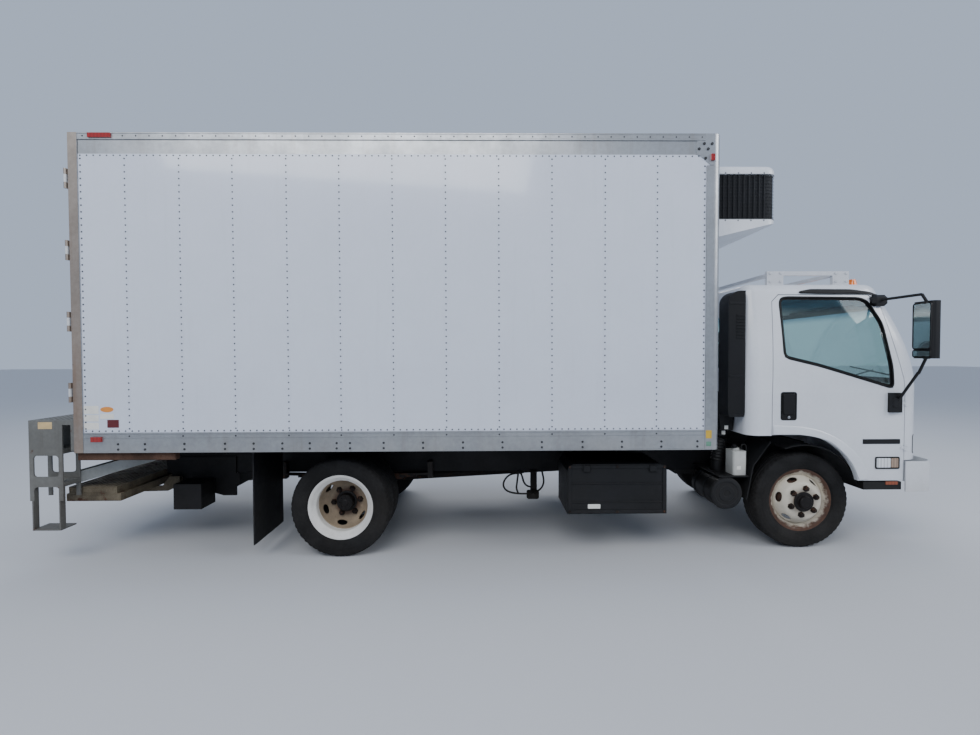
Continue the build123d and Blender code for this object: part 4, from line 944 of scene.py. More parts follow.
def round_outline(centre: Pair, radius: float, sides: int = 32, turn: float = 0.0) -> np.ndarray:
    """Give a circle as a closed outline.

    Args:
        centre: Its middle.
        radius: Its radius.
        sides: Number of its points.
        turn: Turn of the first point, in radians.

    Returns:
        The points of the outline.
    """
    angle = even_turns(sides) + turn
    return np.column_stack((centre[0] + radius * np.cos(angle), centre[1] + radius * np.sin(angle)))


def crossed(first: object, second: object) -> np.ndarray:
    """Pair each value of one row with each value of another."""
    return np.stack(np.meshgrid(first, second), axis=-1).reshape(-1, 2)


def cab_value(values: tuple[float, ...], z: np.ndarray) -> np.ndarray:
    """Give one quantity of the cab at a height.

    It is the cubic through its values at the four plan sections, constant below the lowest one.

    Args:
        values: The quantity at each section.
        z: Heights.

    Returns:
        The quantity at each height.
    """
    cubic = np.polyfit(np.array(CAB_HEIGHTS) - CAB_HEIGHTS[0], values, 3)
    return np.polyval(cubic, np.maximum(z - CAB_HEIGHTS[0], 0.0))


@dataclass(frozen=True)
class Flat:
    """Flat ground for plates and studs: two axes along it and one out of it."""

    origin: Point
    along: Point
    up: Point
    out: Point

    def lay(self, outline: np.ndarray, lift: object) -> np.ndarray:
        """Place points: origin + first * along + second * up + lift * out.

        Args:
            outline: Places on the ground.
            lift: Distance out of it, one number or one for each place.

        Returns:
            The points.
        """
        spots = np.asarray(outline, float)
        height = np.broadcast_to(np.asarray(lift, float), spots.shape[:-1])
        axes = [np.asarray(axis, float) for axis in (self.along, self.up, self.out)]
        return (
            np.asarray(self.origin)
            + spots[..., :1] * axes[0]
            + spots[..., 1:2] * axes[1]
            + height[..., None] * axes[2]
        )

    @classmethod
    def side(cls, side: Side, reach: float) -> "Flat":
        """Upright ground on one side of the truck; outlines are in X and Z."""
        return cls((0.0, side.value * reach, 0.0), (1.0, 0.0, 0.0), (0.0, 0.0, 1.0), (0.0, float(side.value), 0.0))

    @classmethod
    def front(cls, x: float, facing: float = 1.0) -> "Flat":
        """Upright ground across the truck; outlines are in Y and Z."""
        return cls((x, 0.0, 0.0), (0.0, 1.0, 0.0), (0.0, 0.0, 1.0), (facing, 0.0, 0.0))

    @classmethod
    def top(cls, z: float, facing: float = 1.0) -> "Flat":
        """Level ground; outlines are in X and Y."""
        return cls((0.0, 0.0, z), (1.0, 0.0, 0.0), (0.0, 1.0, 0.0), (0.0, 0.0, facing))


@dataclass(frozen=True)
class CabSkin:
    """The cab's outer side as ground for plates; outlines are in X and Z.

    Half width, start of the front corner and its radius are cubics through the four plan sections
    of the cab. Past the start of the corner the side turns in as a circle does.
    """

    side: Side
    halves: tuple[float, ...] = (1.032, 1.0, 0.942, 0.905)
    corner_starts: tuple[float, ...] = (0.775, 0.73, 0.587, 0.485)
    corners: tuple[float, ...] = (0.18, 0.19, 0.2, 0.2)

    def lay(self, outline: np.ndarray, lift: object) -> np.ndarray:
        """Place points on the skin, moved out by a lift.

        Args:
            outline: Places on the ground.
            lift: Distance out of it, one number or one for each place.

        Returns:
            The points.
        """
        spots = np.asarray(outline, float)
        x, z = spots[..., 0], spots[..., 1]
        corner = cab_value(self.corners, z)
        past = np.clip(x - ahead(0) - cab_value(self.corner_starts, z), 0.0, corner * 0.98)
        drop = corner - np.sqrt(corner**2 - past**2)
        reach = cab_value(self.halves, z) - drop + np.broadcast_to(np.asarray(lift, float), x.shape)
        return np.stack((x, self.side.value * reach, z), axis=-1)


@dataclass(frozen=True)
class CabNose:
    """The cab's outer front as ground for plates; outlines are in Y and Z.

    The front bows back with the square of the place across, by cubics through the four sections.
    """

    fronts: tuple[float, ...] = (1.0, 0.975, 0.847, 0.745)
    bows: tuple[float, ...] = (0.045, 0.055, 0.06, 0.06)
    flats: tuple[float, ...] = (0.852, 0.81, 0.742, 0.705)

    def lay(self, outline: np.ndarray, lift: object) -> np.ndarray:
        """Place points on the front, moved forward by a lift.

        Args:
            outline: Places on the ground.
            lift: Distance out of it, one number or one for each place.

        Returns:
            The points.
        """
        spots = np.asarray(outline, float)
        y, z = spots[..., 0], spots[..., 1]
        bow = cab_value(self.bows, z) * (y / cab_value(self.flats, z)) ** 2
        x = ahead(0) + cab_value(self.fronts, z) - bow + np.broadcast_to(np.asarray(lift, float), y.shape)
        return np.stack((x, y, z), axis=-1)


@dataclass(frozen=True)
class BumperFace:
    """The bumper's bowed front as ground; outlines are in Y and Z.

    The front lies back with the square of the place across.
    """

    front: float = 3.625
    bow: float = 0.046
    half: float = 0.92

    def lay(self, outline: np.ndarray, lift: object) -> np.ndarray:
        """Place points on the front, moved forward by a lift.

        Args:
            outline: Places on the ground.
            lift: Distance out of it, one number or one for each place.

        Returns:
            The points.
        """
        spots = np.asarray(outline, float)
        y, z = spots[..., 0], spots[..., 1]
        x = self.front - self.bow * (y / self.half) ** 2 + np.broadcast_to(np.asarray(lift, float), y.shape)
        return np.stack((x, y, z), axis=-1)


Ground = Flat | CabSkin | CabNose | BumperFace
RIVET = ((0.0065, -0.001), (0.0058, 0.0012), (0.003, 0.0026), (0.0, 0.003))
TOP_SHARES = (0.85, 0.7, 0.5, 0.3, 0.1, 0.02)
BAND_EDGE = 0.0015
MERGE_DISTANCE = 0.00002
BOLT_HEAD = ((0.011, -0.001), (0.011, 0.006), (0.009, 0.008), (0.0, 0.008))


class Surface:
    """Points and faces of one piece, gathered as whole arrays."""

    def __init__(self) -> None:
        """Start empty."""
        self.points: list[np.ndarray] = []
        self.faces: list[np.ndarray] = []
        self.count = 0

    def add(self, points: np.ndarray, faces: np.ndarray) -> None:
        """Add points and faces that count from the first of these points.

        Args:
            points: Points, with their axes last.
            faces: Point numbers of each face.
        """
        flat_points = np.asarray(points, float).reshape(-1, 3)
        self.points.append(flat_points)
        self.faces.append(np.asarray(faces, int) + self.count)
        self.count += len(flat_points)

    def grid(self, rings: np.ndarray, wrap: bool = True, caps: bool = False) -> None:
        """Add a grid of rings as four-sided faces.

        Args:
            rings: Points by ring, place on the ring and axis.
            wrap: Whether each ring closes on itself.
            caps: Whether the first and last ring are filled.
        """
        rows, columns = rings.shape[:2]
        index = np.arange(rows * columns).reshape(rows, columns)
        here = index if wrap else index[:, :-1]
        onward = np.roll(index, -1, axis=1) if wrap else index[:, 1:]
        faces = np.stack((here[:-1], onward[:-1], onward[1:], here[1:]), axis=-1).reshape(-1, 4)
        base = self.count
        self.add(rings, faces)
        if caps:
            self.faces.append(index[:1] + base)
            self.faces.append(index[-1:, ::-1] + base)

    def plate(self, ground: Ground, outline: np.ndarray, low: float, high: float, bevel: float = 0.001) -> None:
        """Add a plate with a bevelled rim.

        Its rings are the outline at low, the outline below the bevel and the outline moved in at
        high. On bowed ground the top is closed by outlines that shrink towards their middle, so that it
        follows the ground.

        Args:
            ground: What it lies on.
            outline: Closed outline.
            low: Lift of its foot.
            high: Lift of its top.
            bevel: Width and height of the bevel.
        """
        inner = moved_in(outline, bevel)
        rim = ground.lay(outline, high - bevel * np.sign(high - low))
        rings = [ground.lay(outline, low), rim, ground.lay(inner, high)]
        if not isinstance(ground, Flat):
            middle = inner.mean(axis=0)
            rings += [ground.lay(middle + (inner - middle) * share, high) for share in TOP_SHARES]
        self.grid(np.stack(rings), caps=True)

    def band(self, ground: Ground, outline: np.ndarray, outer: float, inner: float, low: float, high: float) -> None:
        """Add a closed rim between an outline moved out and the same outline moved in.

        Args:
            ground: What it lies on.
            outline: Closed outline.
            outer: How far outside the outline the rim starts.
            inner: How far inside it ends.
            low: Lift of its foot.
            high: Lift of its top.
        """
        edge = min(BAND_EDGE, abs(high - low) / 2)
        rings = (
            ground.lay(moved_in(outline, -outer), low),
            ground.lay(moved_in(outline, -outer), high - edge),
            ground.lay(moved_in(outline, edge - outer), high),
            ground.lay(moved_in(outline, inner - edge), high),
            ground.lay(moved_in(outline, inner), high - edge),
            ground.lay(moved_in(outline, inner), low),
            ground.lay(moved_in(outline, -outer), low),
        )
        self.grid(np.stack(rings))

    def studs(self, ground: Ground, places: object, profile: object = RIVET, sides: int = 8, turn: float = 0.0) -> None:
        """Add a small turned head at each place.

        Ring k of a head is its place + radius k * (cos, sin) at lift k; all heads are one array.

        Args:
            ground: What the heads stand on.
            places: Places on the ground.
            profile: Radius and lift of each ring, from foot to tip.
            sides: Sides of each head; six make a hexagon.
            turn: Turn of the first corner, in radians.
        """
        spots = np.asarray(places, float).reshape(-1, 2)
        shape = np.asarray(profile, float)
        angle = even_turns(sides) + turn
        circle = np.column_stack((np.cos(angle), np.sin(angle)))
        rings = spots[:, None, None] + shape[None, :, None, :1] * circle[None, None]
        lifts = np.broadcast_to(shape[None, :, None, 1], rings.shape[:-1])
        points = ground.lay(rings, lifts)
        rows = len(shape)
        index = np.arange(rows * sides).reshape(rows, sides)
        onward = np.roll(index, -1, axis=1)
        faces = np.stack((index[:-1], onward[:-1], onward[1:], index[1:]), axis=-1).reshape(-1, 4)
        starts = np.arange(len(spots))[:, None, None] * rows * sides
        self.add(points, (faces[None] + starts).reshape(-1, 4))

    def turned(self, centre: Point, side: float, profile: object, steps: int = 48, ring: bool = False) -> None:
        """Add a body turned about a line along Y.

        Args:
            centre: Point on the line from which places count.
            side: 1 or -1, the way along Y in which places grow.
            profile: Place along the line and radius of each ring.
            steps: Faces round the body.
            ring: Whether the profile is the closed section of a ring, so that nothing is capped.
        """
        shape = np.asarray(profile, float)
        if ring:
            shape = np.vstack((shape, shape[:1]))
        angle = even_turns(steps)
        x = centre[0] + shape[:, 1:] * np.cos(angle)
        z = centre[2] + shape[:, 1:] * np.sin(angle)
        y = np.broadcast_to(centre[1] + side * shape[:, :1], x.shape)
        self.grid(np.stack((x, y, z), axis=-1), caps=not ring)

    def pad(self, centre: Point, axes: object, halves: Point, channels: int, crown: float = 0.018) -> None:
        """Add a crowned cushion with sewn channels across its top.

        A sphere's directions are squared off: each part of the direction is raised to a power below
        one and scaled to the half sizes. The top and bottom swell with the product of the cosines
        of the places across, and each channel pinches the form along a narrow bell-shaped line.

        Args:
            centre: Middle of the cushion.
            axes: Its three directions: along, across and out of its top.
            halves: Half sizes along those directions.
            channels: Number of channels across it.
            crown: How far its middle swells.
        """
        turn = even_turns(72)
        rise = np.linspace(-math.pi / 2, math.pi / 2, 41)
        power = 0.36
        level = np.sign(np.cos(rise)) * np.abs(np.cos(rise)) ** power
        first = level[:, None] * (np.sign(np.cos(turn)) * np.abs(np.cos(turn)) ** power)[None]
        second = level[:, None] * (np.sign(np.sin(turn)) * np.abs(np.sin(turn)) ** power)[None]
        third = np.broadcast_to((np.sign(np.sin(rise)) * np.abs(np.sin(rise)) ** power)[:, None], first.shape)
        swell = np.cos(first * math.pi / 2.2) * np.cos(second * math.pi / 2.2) * crown
        places = np.linspace(-0.7, 0.7, channels)
        pinch = np.exp(-(((first[..., None] - places) * halves[0] / 0.012) ** 2)).sum(axis=-1) * 0.007
        height = third * (halves[2] - 0.5 * crown) + np.sign(third) * (swell - pinch * (np.abs(third) > 0.6))
        waist = 1 - 0.02 * np.cos(second * math.pi / 2)
        axis = np.asarray(axes, float)
        points = (
            np.asarray(centre)
            + (first * halves[0] * waist)[..., None] * axis[0]
            + (second * halves[1])[..., None] * axis[1]
            + height[..., None] * axis[2]
        )
        self.grid(points)

    def tube(self, path: object, radius: object, sides: int = 10) -> None:
        """Add a round bar along a path.

        The ring at each point stands square to the run there; its first axis is the cross product
        of the run with the axis on which the path moves least.

        Args:
            path: Points of its middle line.
            radius: One radius, or one for each point.
            sides: Faces round the bar.
        """
        line = np.asarray(path, float)
        run = np.gradient(line, axis=0)
        run = run / np.maximum(np.linalg.norm(run, axis=1, keepdims=True), 1e-9)
        aside = np.zeros(3)
        aside[int(np.argmin(np.ptp(line, axis=0)))] = 1.0
        first = np.cross(run, aside)
        first = first / np.maximum(np.linalg.norm(first, axis=1, keepdims=True), 1e-9)
        second = np.cross(run, first)
        angle = even_turns(sides)
        reach = np.broadcast_to(np.asarray(radius, float), (len(line),))[:, None, None]
        ring = np.cos(angle)[None, :, None] * first[:, None] + np.sin(angle)[None, :, None] * second[:, None]
        self.grid(line[:, None] + reach * ring, caps=True)

    def block(self, low: Point, high: Point, bevel: float = 0.003) -> None:
        """Add a box with softened edges between two corners.

        Args:
            low: Corner with the lowest places.
            high: Corner with the highest places.
            bevel: Width of the softened edges.
        """
        ground = Flat.top(0.0)
        outline = box_outline((low[0], low[1]), (high[0], high[1]), bevel, 2)
        inner = moved_in(outline, bevel)
        rings = (
            ground.lay(inner, low[2]),
            ground.lay(outline, low[2] + bevel),
            ground.lay(outline, high[2] - bevel),
            ground.lay(inner, high[2]),
        )
        self.grid(np.stack(rings), caps=True)

    def mesh(self, name: str) -> bpy.types.Mesh:
        """Turn the arrays into a mesh with merged doubles and faces that point outwards.

        Args:
            name: Name of the mesh.

        Returns:
            The mesh.
        """
        points = np.concatenate(self.points)
        sizes = np.concatenate([np.full(len(faces), faces.shape[1]) for faces in self.faces])
        corners = np.concatenate([faces.ravel() for faces in self.faces])
        data = bpy.data.meshes.new(name)
        data.vertices.add(len(points))
        data.vertices.foreach_set("co", points.ravel())
        data.loops.add(len(corners))
        data.loops.foreach_set("vertex_index", corners)
        data.polygons.add(len(sizes))
        data.polygons.foreach_set("loop_start", np.concatenate(([0], np.cumsum(sizes)[:-1])))
        data.update(calc_edges=True)
        data.validate()
        work = bmesh.new()
        work.from_mesh(data)
        bmesh.ops.remove_doubles(work, verts=work.verts, dist=MERGE_DISTANCE)
        bmesh.ops.recalc_face_normals(work, faces=work.faces)
        work.to_mesh(data)
        work.free()
        return data


@dataclass
class Assembly:
    """Sub-assembly that makes its pieces and hangs each on a body of the frame."""

    shelf: FinishShelf
    body: str = "chassis"
    count: int = 0

    def build(self) -> None:
        """Make all pieces; each sub-assembly says how."""
        raise NotImplementedError

    def make(
        self, name: str, surface: Surface, slot: str, finish: Finish | None = None, body: str = "", crease: float = 32.0
    ) -> bpy.types.Object:
        """Make one piece.

        Args:
            name: Name of the piece.
            surface: Its points and faces.
            slot: Material slot of the record that its finish belongs to.
            finish: Its finish, or none for the slot's own.
            body: Body of the frame that it moves with, or none for the sub-assembly's own.
            crease: Edges sharper than this many degrees stay sharp.

        Returns:
            The new object.
        """
        data = surface.mesh(name)
        data.shade_smooth()
        data.set_sharp_from_angle(angle=math.radians(crease))
        data.materials.append(self.shelf.take(finish or FINISHES[slot]))
        body = body or self.body
        piece = bpy.data.objects.new(name, data)
        bpy.context.scene.collection.objects.link(piece)
        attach(piece, body)
        self.count += 1
        LOG.info("%s: %d faces", name, len(data.polygons))
        return piece


@dataclass
class WheelAssembly(Assembly):
    """Sub-assembly of the wheels, with their middles across the truck."""

    front_y: float = 0.8325
    rear_y: float = 0.825
    twin_offset: float = 0.13


@dataclass
class Tyres(WheelAssembly):
    """Treaded tyres in place of the plain rings."""

    groove_places: tuple[float, ...] = (-0.057, -0.02, 0.02, 0.057)
    groove_half: float = 0.0042
    groove_depth: float = 0.011
    wiggle: float = 0.0028
    wiggles: int = 44
    shoulder_cuts: int = 52
    cut_depth: float = 0.006
    cut_level: float = 0.45
    groove_from: float = 0.39
    shoulder_from: float = 0.3855
    shoulder_place: float = 0.076
    steps: int = 220
    section: Profile = (
        (0.0762, 0.2486), (0.084, 0.2565), (0.0925, 0.2665), (0.0985, 0.2735), (0.101, 0.2745), (0.104, 0.282),
        (0.1095, 0.3), (0.1122, 0.316), (0.1128, 0.3295), (0.1128, 0.331), (0.1118, 0.333), (0.1112, 0.345),
        (0.1092, 0.358), (0.1088, 0.3592), (0.1076, 0.3615), (0.106, 0.372), (0.1035, 0.3815), (0.0985, 0.389),
        (0.092, 0.3938), (0.084, 0.3968),
    )
    crown: Pair = (0.0835, 0.3969)
    crown_radius: float = 0.4
    crown_steps: int = 64
    crown_power: float = 2.6

    def rings(self, centre_y: float, axle_x: float) -> np.ndarray:
        """Work out one tyre's grid.

        The section runs over one side, the crown and the other side. On the crown, a groove lowers
        the radius where the place across is within its half width of a line that swings as a sine
        of the turn. On the shoulders, cuts lower it in slots round the tyre.

        Args:
            centre_y: Place of the tyre's middle across the truck.
            axle_x: Place of its axle along the truck.

        Returns:
            Points by place on the section, turn and axis.
        """
        side = np.array(self.section)
        across = np.linspace(self.crown[0], -self.crown[0], self.crown_steps)
        drop = (self.crown_radius - self.crown[1]) * (np.abs(across) / self.crown[0]) ** self.crown_power
        top = np.column_stack((across, self.crown_radius - drop))
        other = side[::-1] * (-1.0, 1.0)
        profile = np.vstack((side, top, other, side[:1]))
        turn = even_turns(self.steps)
        place = np.broadcast_to(profile[:, :1], (len(profile), self.steps))
        radius = np.broadcast_to(profile[:, 1:], (len(profile), self.steps)).copy()
        swing = self.wiggle * np.sin(self.wiggles * turn)
        for groove in self.groove_places:
            away = np.abs(place - groove - swing[None])
            depth = self.groove_depth * np.clip(1.6 - away / self.groove_half, 0.0, 1.0)
            radius -= depth * (radius > self.groove_from)
        slots = (np.sin(self.shoulder_cuts * turn) > self.cut_level)[None]
        slots = slots & (np.abs(place) > self.shoulder_place) & (radius > self.shoulder_from)
        radius -= self.cut_depth * slots
        x = axle_x + radius * np.sin(turn)
        z = AXLE_Z + radius * np.cos(turn)
        return np.stack((x, place + centre_y, z), axis=-1)

    def build(self) -> None:
        """Make the tyres of all four wheel stations."""
        for side in Side:
            single = Surface()
            single.grid(self.rings(side.value * self.front_y, FRONT_AXLE_X))
            piece = self.make(
                f"tread_front_{side.word}", single, "tyre_rubber", body=f"front_wheel_{side.word}", crease=40
            )
            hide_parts(f"front_tyre_{side.word}")
            twins = Surface()
            for offset in (-self.twin_offset, self.twin_offset):
                twins.grid(self.rings(side.value * (self.rear_y + offset), REAR_AXLE_X))
            piece = self.make(
                f"tread_rear_{side.word}", twins, "tyre_rubber", body=f"rear_wheels_{side.word}", crease=40
            )
            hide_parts(f"rear_tyres_{side.word}")


@dataclass
class Rims(WheelAssembly):
    """Pressed steel rims in place of the plain ones: barrels, dished discs with hand holes, drums."""

    barrel: Profile = (
        (-0.086, 0.264), (-0.076, 0.248), (-0.05, 0.2475), (-0.038, 0.216), (0.038, 0.216), (0.05, 0.2475),
        (0.076, 0.248),
        (0.086, 0.264), (0.09, 0.2625), (0.087, 0.255), (0.08, 0.24), (0.044, 0.208), (-0.044, 0.208), (-0.08, 0.24),
        (-0.087, 0.255), (-0.09, 0.2625),
    )
    disc: Profile = (
        (0.1245, 0.06), (0.1245, 0.136), (0.114, 0.155), (0.072, 0.187), (0.046, 0.2), (0.016, 0.2085),
    )
    front_drum: Profile = (
        (0.825, 0.165), (0.897, 0.165), (0.905, 0.157), (0.905, 0.08), (0.97, 0.08), (0.97, 0.034), (0.822, 0.034),
        (0.822, 0.075), (0.89, 0.075), (0.891, 0.151), (0.825, 0.151),
    )
    rear_drum: Profile = (
        (0.6, 0.165), (0.693, 0.165), (0.7, 0.158), (0.7, 0.084), (0.85, 0.084), (0.85, 0.0665), (0.91, 0.0665),
        (0.91, 0.047), (0.64, 0.047), (0.64, 0.08), (0.685, 0.084), (0.686, 0.151), (0.6, 0.151),
    )
    wall: float = 0.011
    holes: int = 6
    zone: Pair = (0.5, 0.83)
    hole_half_turn: float = 0.235
    hole_half_way: float = 0.135
    columns: int = 12
    rows: int = 6
    inner_rows: int = 10
    hole_rings: tuple[float, ...] = (0.0, 0.2, 0.55, 1.0)
    first_holes: Pair = (0.9, 0.35)

    def disc_points(
        self, turn: np.ndarray, way: np.ndarray, x: float, middle: float, side: float, dish: float
    ) -> np.ndarray:
        """Place points of the disc from their turn round the axle and their way along its section.

        The section is the rounded line of the disc measured by its length; its radius is swept
        round the axle and its place counts from the wheel's middle, reversed for a dish of -1.

        Args:
            turn: Turns round the axle.
            way: Ways along the section, 0 to 1.
            x: Place of the axle.
            middle: Distance of the wheel's middle from the truck's.
            side: 1 or -1, the side's sign.
            dish: 1 or -1, the way in which the disc is dished.

        Returns:
            The points.
        """
        line = rounded(self.disc, 0.02, 7, False)
        length = np.concatenate(([0.0], np.cumsum(np.linalg.norm(np.diff(line, axis=0), axis=1))))
        length /= length[-1]
        place = np.interp(way, length, line[:, 0])
        radius = np.interp(way, length, line[:, 1])
        return np.stack(
            (x + radius * np.cos(turn), side * (middle + dish * place), AXLE_Z + radius * np.sin(turn)), axis=-1
        )

    def add_disc(self, surface: Surface, x: float, middle: float, side: float, dish: float, start: float) -> None:
        """Add one disc: a ring inside the holes, a ring outside them, and one patch round each hole.

        A patch runs from the oval edge of its hole to the four-sided edge of its share of the ring;
        each point of the oval lies in the direction of its partner on that edge.

        Args:
            surface: Surface that the disc joins.
            x: Place of the axle.
            middle: Distance of the wheel's middle from the truck's.
            side: 1 or -1, the side's sign.
            dish: 1 or -1, the way in which the disc is dished.
            start: Turn of the first hole.
        """
        low, high = self.zone
        half_turn = math.pi / self.holes
        steps = np.linspace(-half_turn, half_turn, self.columns + 1)
        round_turns = start + (np.arange(self.holes)[:, None] * 2 * half_turn + steps[None, :-1]).ravel()
        for ways in (np.linspace(0.0, low, self.inner_rows), np.linspace(high, 1.0, self.rows)):
            turn, way = np.meshgrid(round_turns, ways)
            surface.grid(self.disc_points(turn, way, x, middle, side, dish))
        climb = np.linspace(low, high, self.rows + 1)
        edge = np.concatenate((
            np.column_stack((steps[:-1], np.full(self.columns, low))),
            np.column_stack((np.full(self.rows, half_turn), climb[:-1])),
            np.column_stack((steps[:0:-1], np.full(self.columns, high))),
            np.column_stack((np.full(self.rows, -half_turn), climb[:0:-1])),
        ))
        centre = np.array((0.0, (low + high) / 2))
        angle = np.arctan2((edge[:, 1] - centre[1]) / (high - low) * 2, edge[:, 0] / half_turn)
        oval = centre + np.column_stack((self.hole_half_turn * np.cos(angle), self.hole_half_way * np.sin(angle)))
        share = np.array(self.hole_rings)[:, None, None]
        patch = oval[None] * (1 - share) + edge[None] * share
        for hole in range(self.holes):
            turn = start + hole * 2 * half_turn + patch[..., 0]
            surface.grid(self.disc_points(turn, patch[..., 1], x, middle, side, dish))

    def build(self) -> None:
        """Make the rims of all four wheel stations."""
        section = rounded(self.barrel, 0.007, 4)
        twins = ((self.rear_y - self.twin_offset, 1.0), (self.rear_y + self.twin_offset, -1.0))
        for side in Side:
            sign = float(side.value)
            for word, x, wheels, start, drum, paint, dish_paint, body, node in (
                ("front", FRONT_AXLE_X, ((self.front_y, 1.0),), self.first_holes[0], self.front_drum,
                 FRONT_BARREL, FRONT_WHEELS, f"front_wheel_{side.word}", f"front_rim_{side.word}"),
                ("rear", REAR_AXLE_X, twins, self.first_holes[1], self.rear_drum,
                 REAR_WHEELS, REAR_DISH, f"rear_wheels_{side.word}", f"rear_rims_{side.word}"),
            ):
                barrels, discs, drums = Surface(), Surface(), Surface()
                for middle, dish in wheels:
                    barrels.turned((x, sign * middle, AXLE_Z), sign, section, 96, True)
                    self.add_disc(discs, x, middle, sign, dish, start)
                drums.turned((x, 0.0, AXLE_Z), sign, rounded(drum, 0.004, 3), 64, True)
                piece = self.make(f"rim_barrel_{word}_{side.word}", barrels, "wheel_cream", paint, body, 40)
                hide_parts(node)
                plate = self.make(f"rim_disc_{word}_{side.word}", discs, "wheel_cream", dish_paint, body, 40)
                wall = plate.modifiers.new("wall", "SOLIDIFY")
                wall.thickness = self.wall
                wall.offset = 0.0
                wall.use_even_offset = True
                self.make(f"brake_drum_{word}_{side.word}", drums, "axle_iron", DRUM_IRON, body, 40)


@dataclass
class WheelHardware(Assembly):
    """Lug nuts with studs, washers and hub caps."""

    circle: float = 0.111
    nuts: int = 6
    nut: Profile = (
        (0.027, -0.001), (0.027, 0.004), (0.0215, 0.0045), (0.0215, 0.022), (0.019, 0.0255), (0.0105, 0.0256),
        (0.0105, 0.034), (0.0, 0.0345),
    )
    front_face: float = 0.9625
    rear_face: float = 0.836
    hub_end: float = 0.915
    cap_end: float = 1.0085
    flange_circle: float = 0.049
    flange_bolts: int = 8

    def build(self) -> None:
        """Make the hardware of each wheel."""
        for side in Side:
            for x, face, body, turn in (
                (FRONT_AXLE_X, self.front_face, f"front_wheel_{side.word}", 0.35),
                (REAR_AXLE_X, self.rear_face, f"rear_wheels_{side.word}", 0.1),
            ):
                heads = Surface()
                places = round_outline((x, AXLE_Z), self.circle, self.nuts, turn)
                heads.studs(Flat.side(side, face), places, self.nut, 6, turn)
                self.make(f"lug_nuts_{body}", heads, "axle_iron", LUG_IRON, body)
            cap = Surface()
            cap.turned((FRONT_AXLE_X, 0.0, AXLE_Z), side.value, (
                (self.front_face + 0.006, 0.082), (self.front_face + 0.011, 0.082), (self.front_face + 0.014, 0.078),
                (self.front_face + 0.014, 0.056), (self.front_face + 0.02, 0.0515), (self.cap_end - 0.008, 0.0505),
                (self.cap_end, 0.044), (self.cap_end + 0.002, 0.0), ), 40)
            self.make(f"hub_cap_{side.word}", cap, "axle_iron", HUB_GREASE, f"front_wheel_{side.word}")
            flange = Surface()
            flange.turned((REAR_AXLE_X, 0.0, AXLE_Z), side.value, (
                (0.851, 0.0865), (0.856, 0.0865), (0.858, 0.083), (0.858, 0.07), (0.866, 0.0675),
                (self.hub_end - 0.004, 0.067),
                (self.hub_end + 0.001, 0.062), (self.hub_end + 0.001, 0.03), (self.hub_end + 0.006, 0.024),
                (self.hub_end + 0.006, 0.0)), 40)
            spots = round_outline((REAR_AXLE_X, AXLE_Z), self.flange_circle, self.flange_bolts)
            flange.studs(Flat.side(side, self.hub_end), spots, BOLT_HEAD, 6)
            self.make(f"axle_flange_{side.word}", flange, "axle_iron", HUB_GREASE, f"rear_wheels_{side.word}")


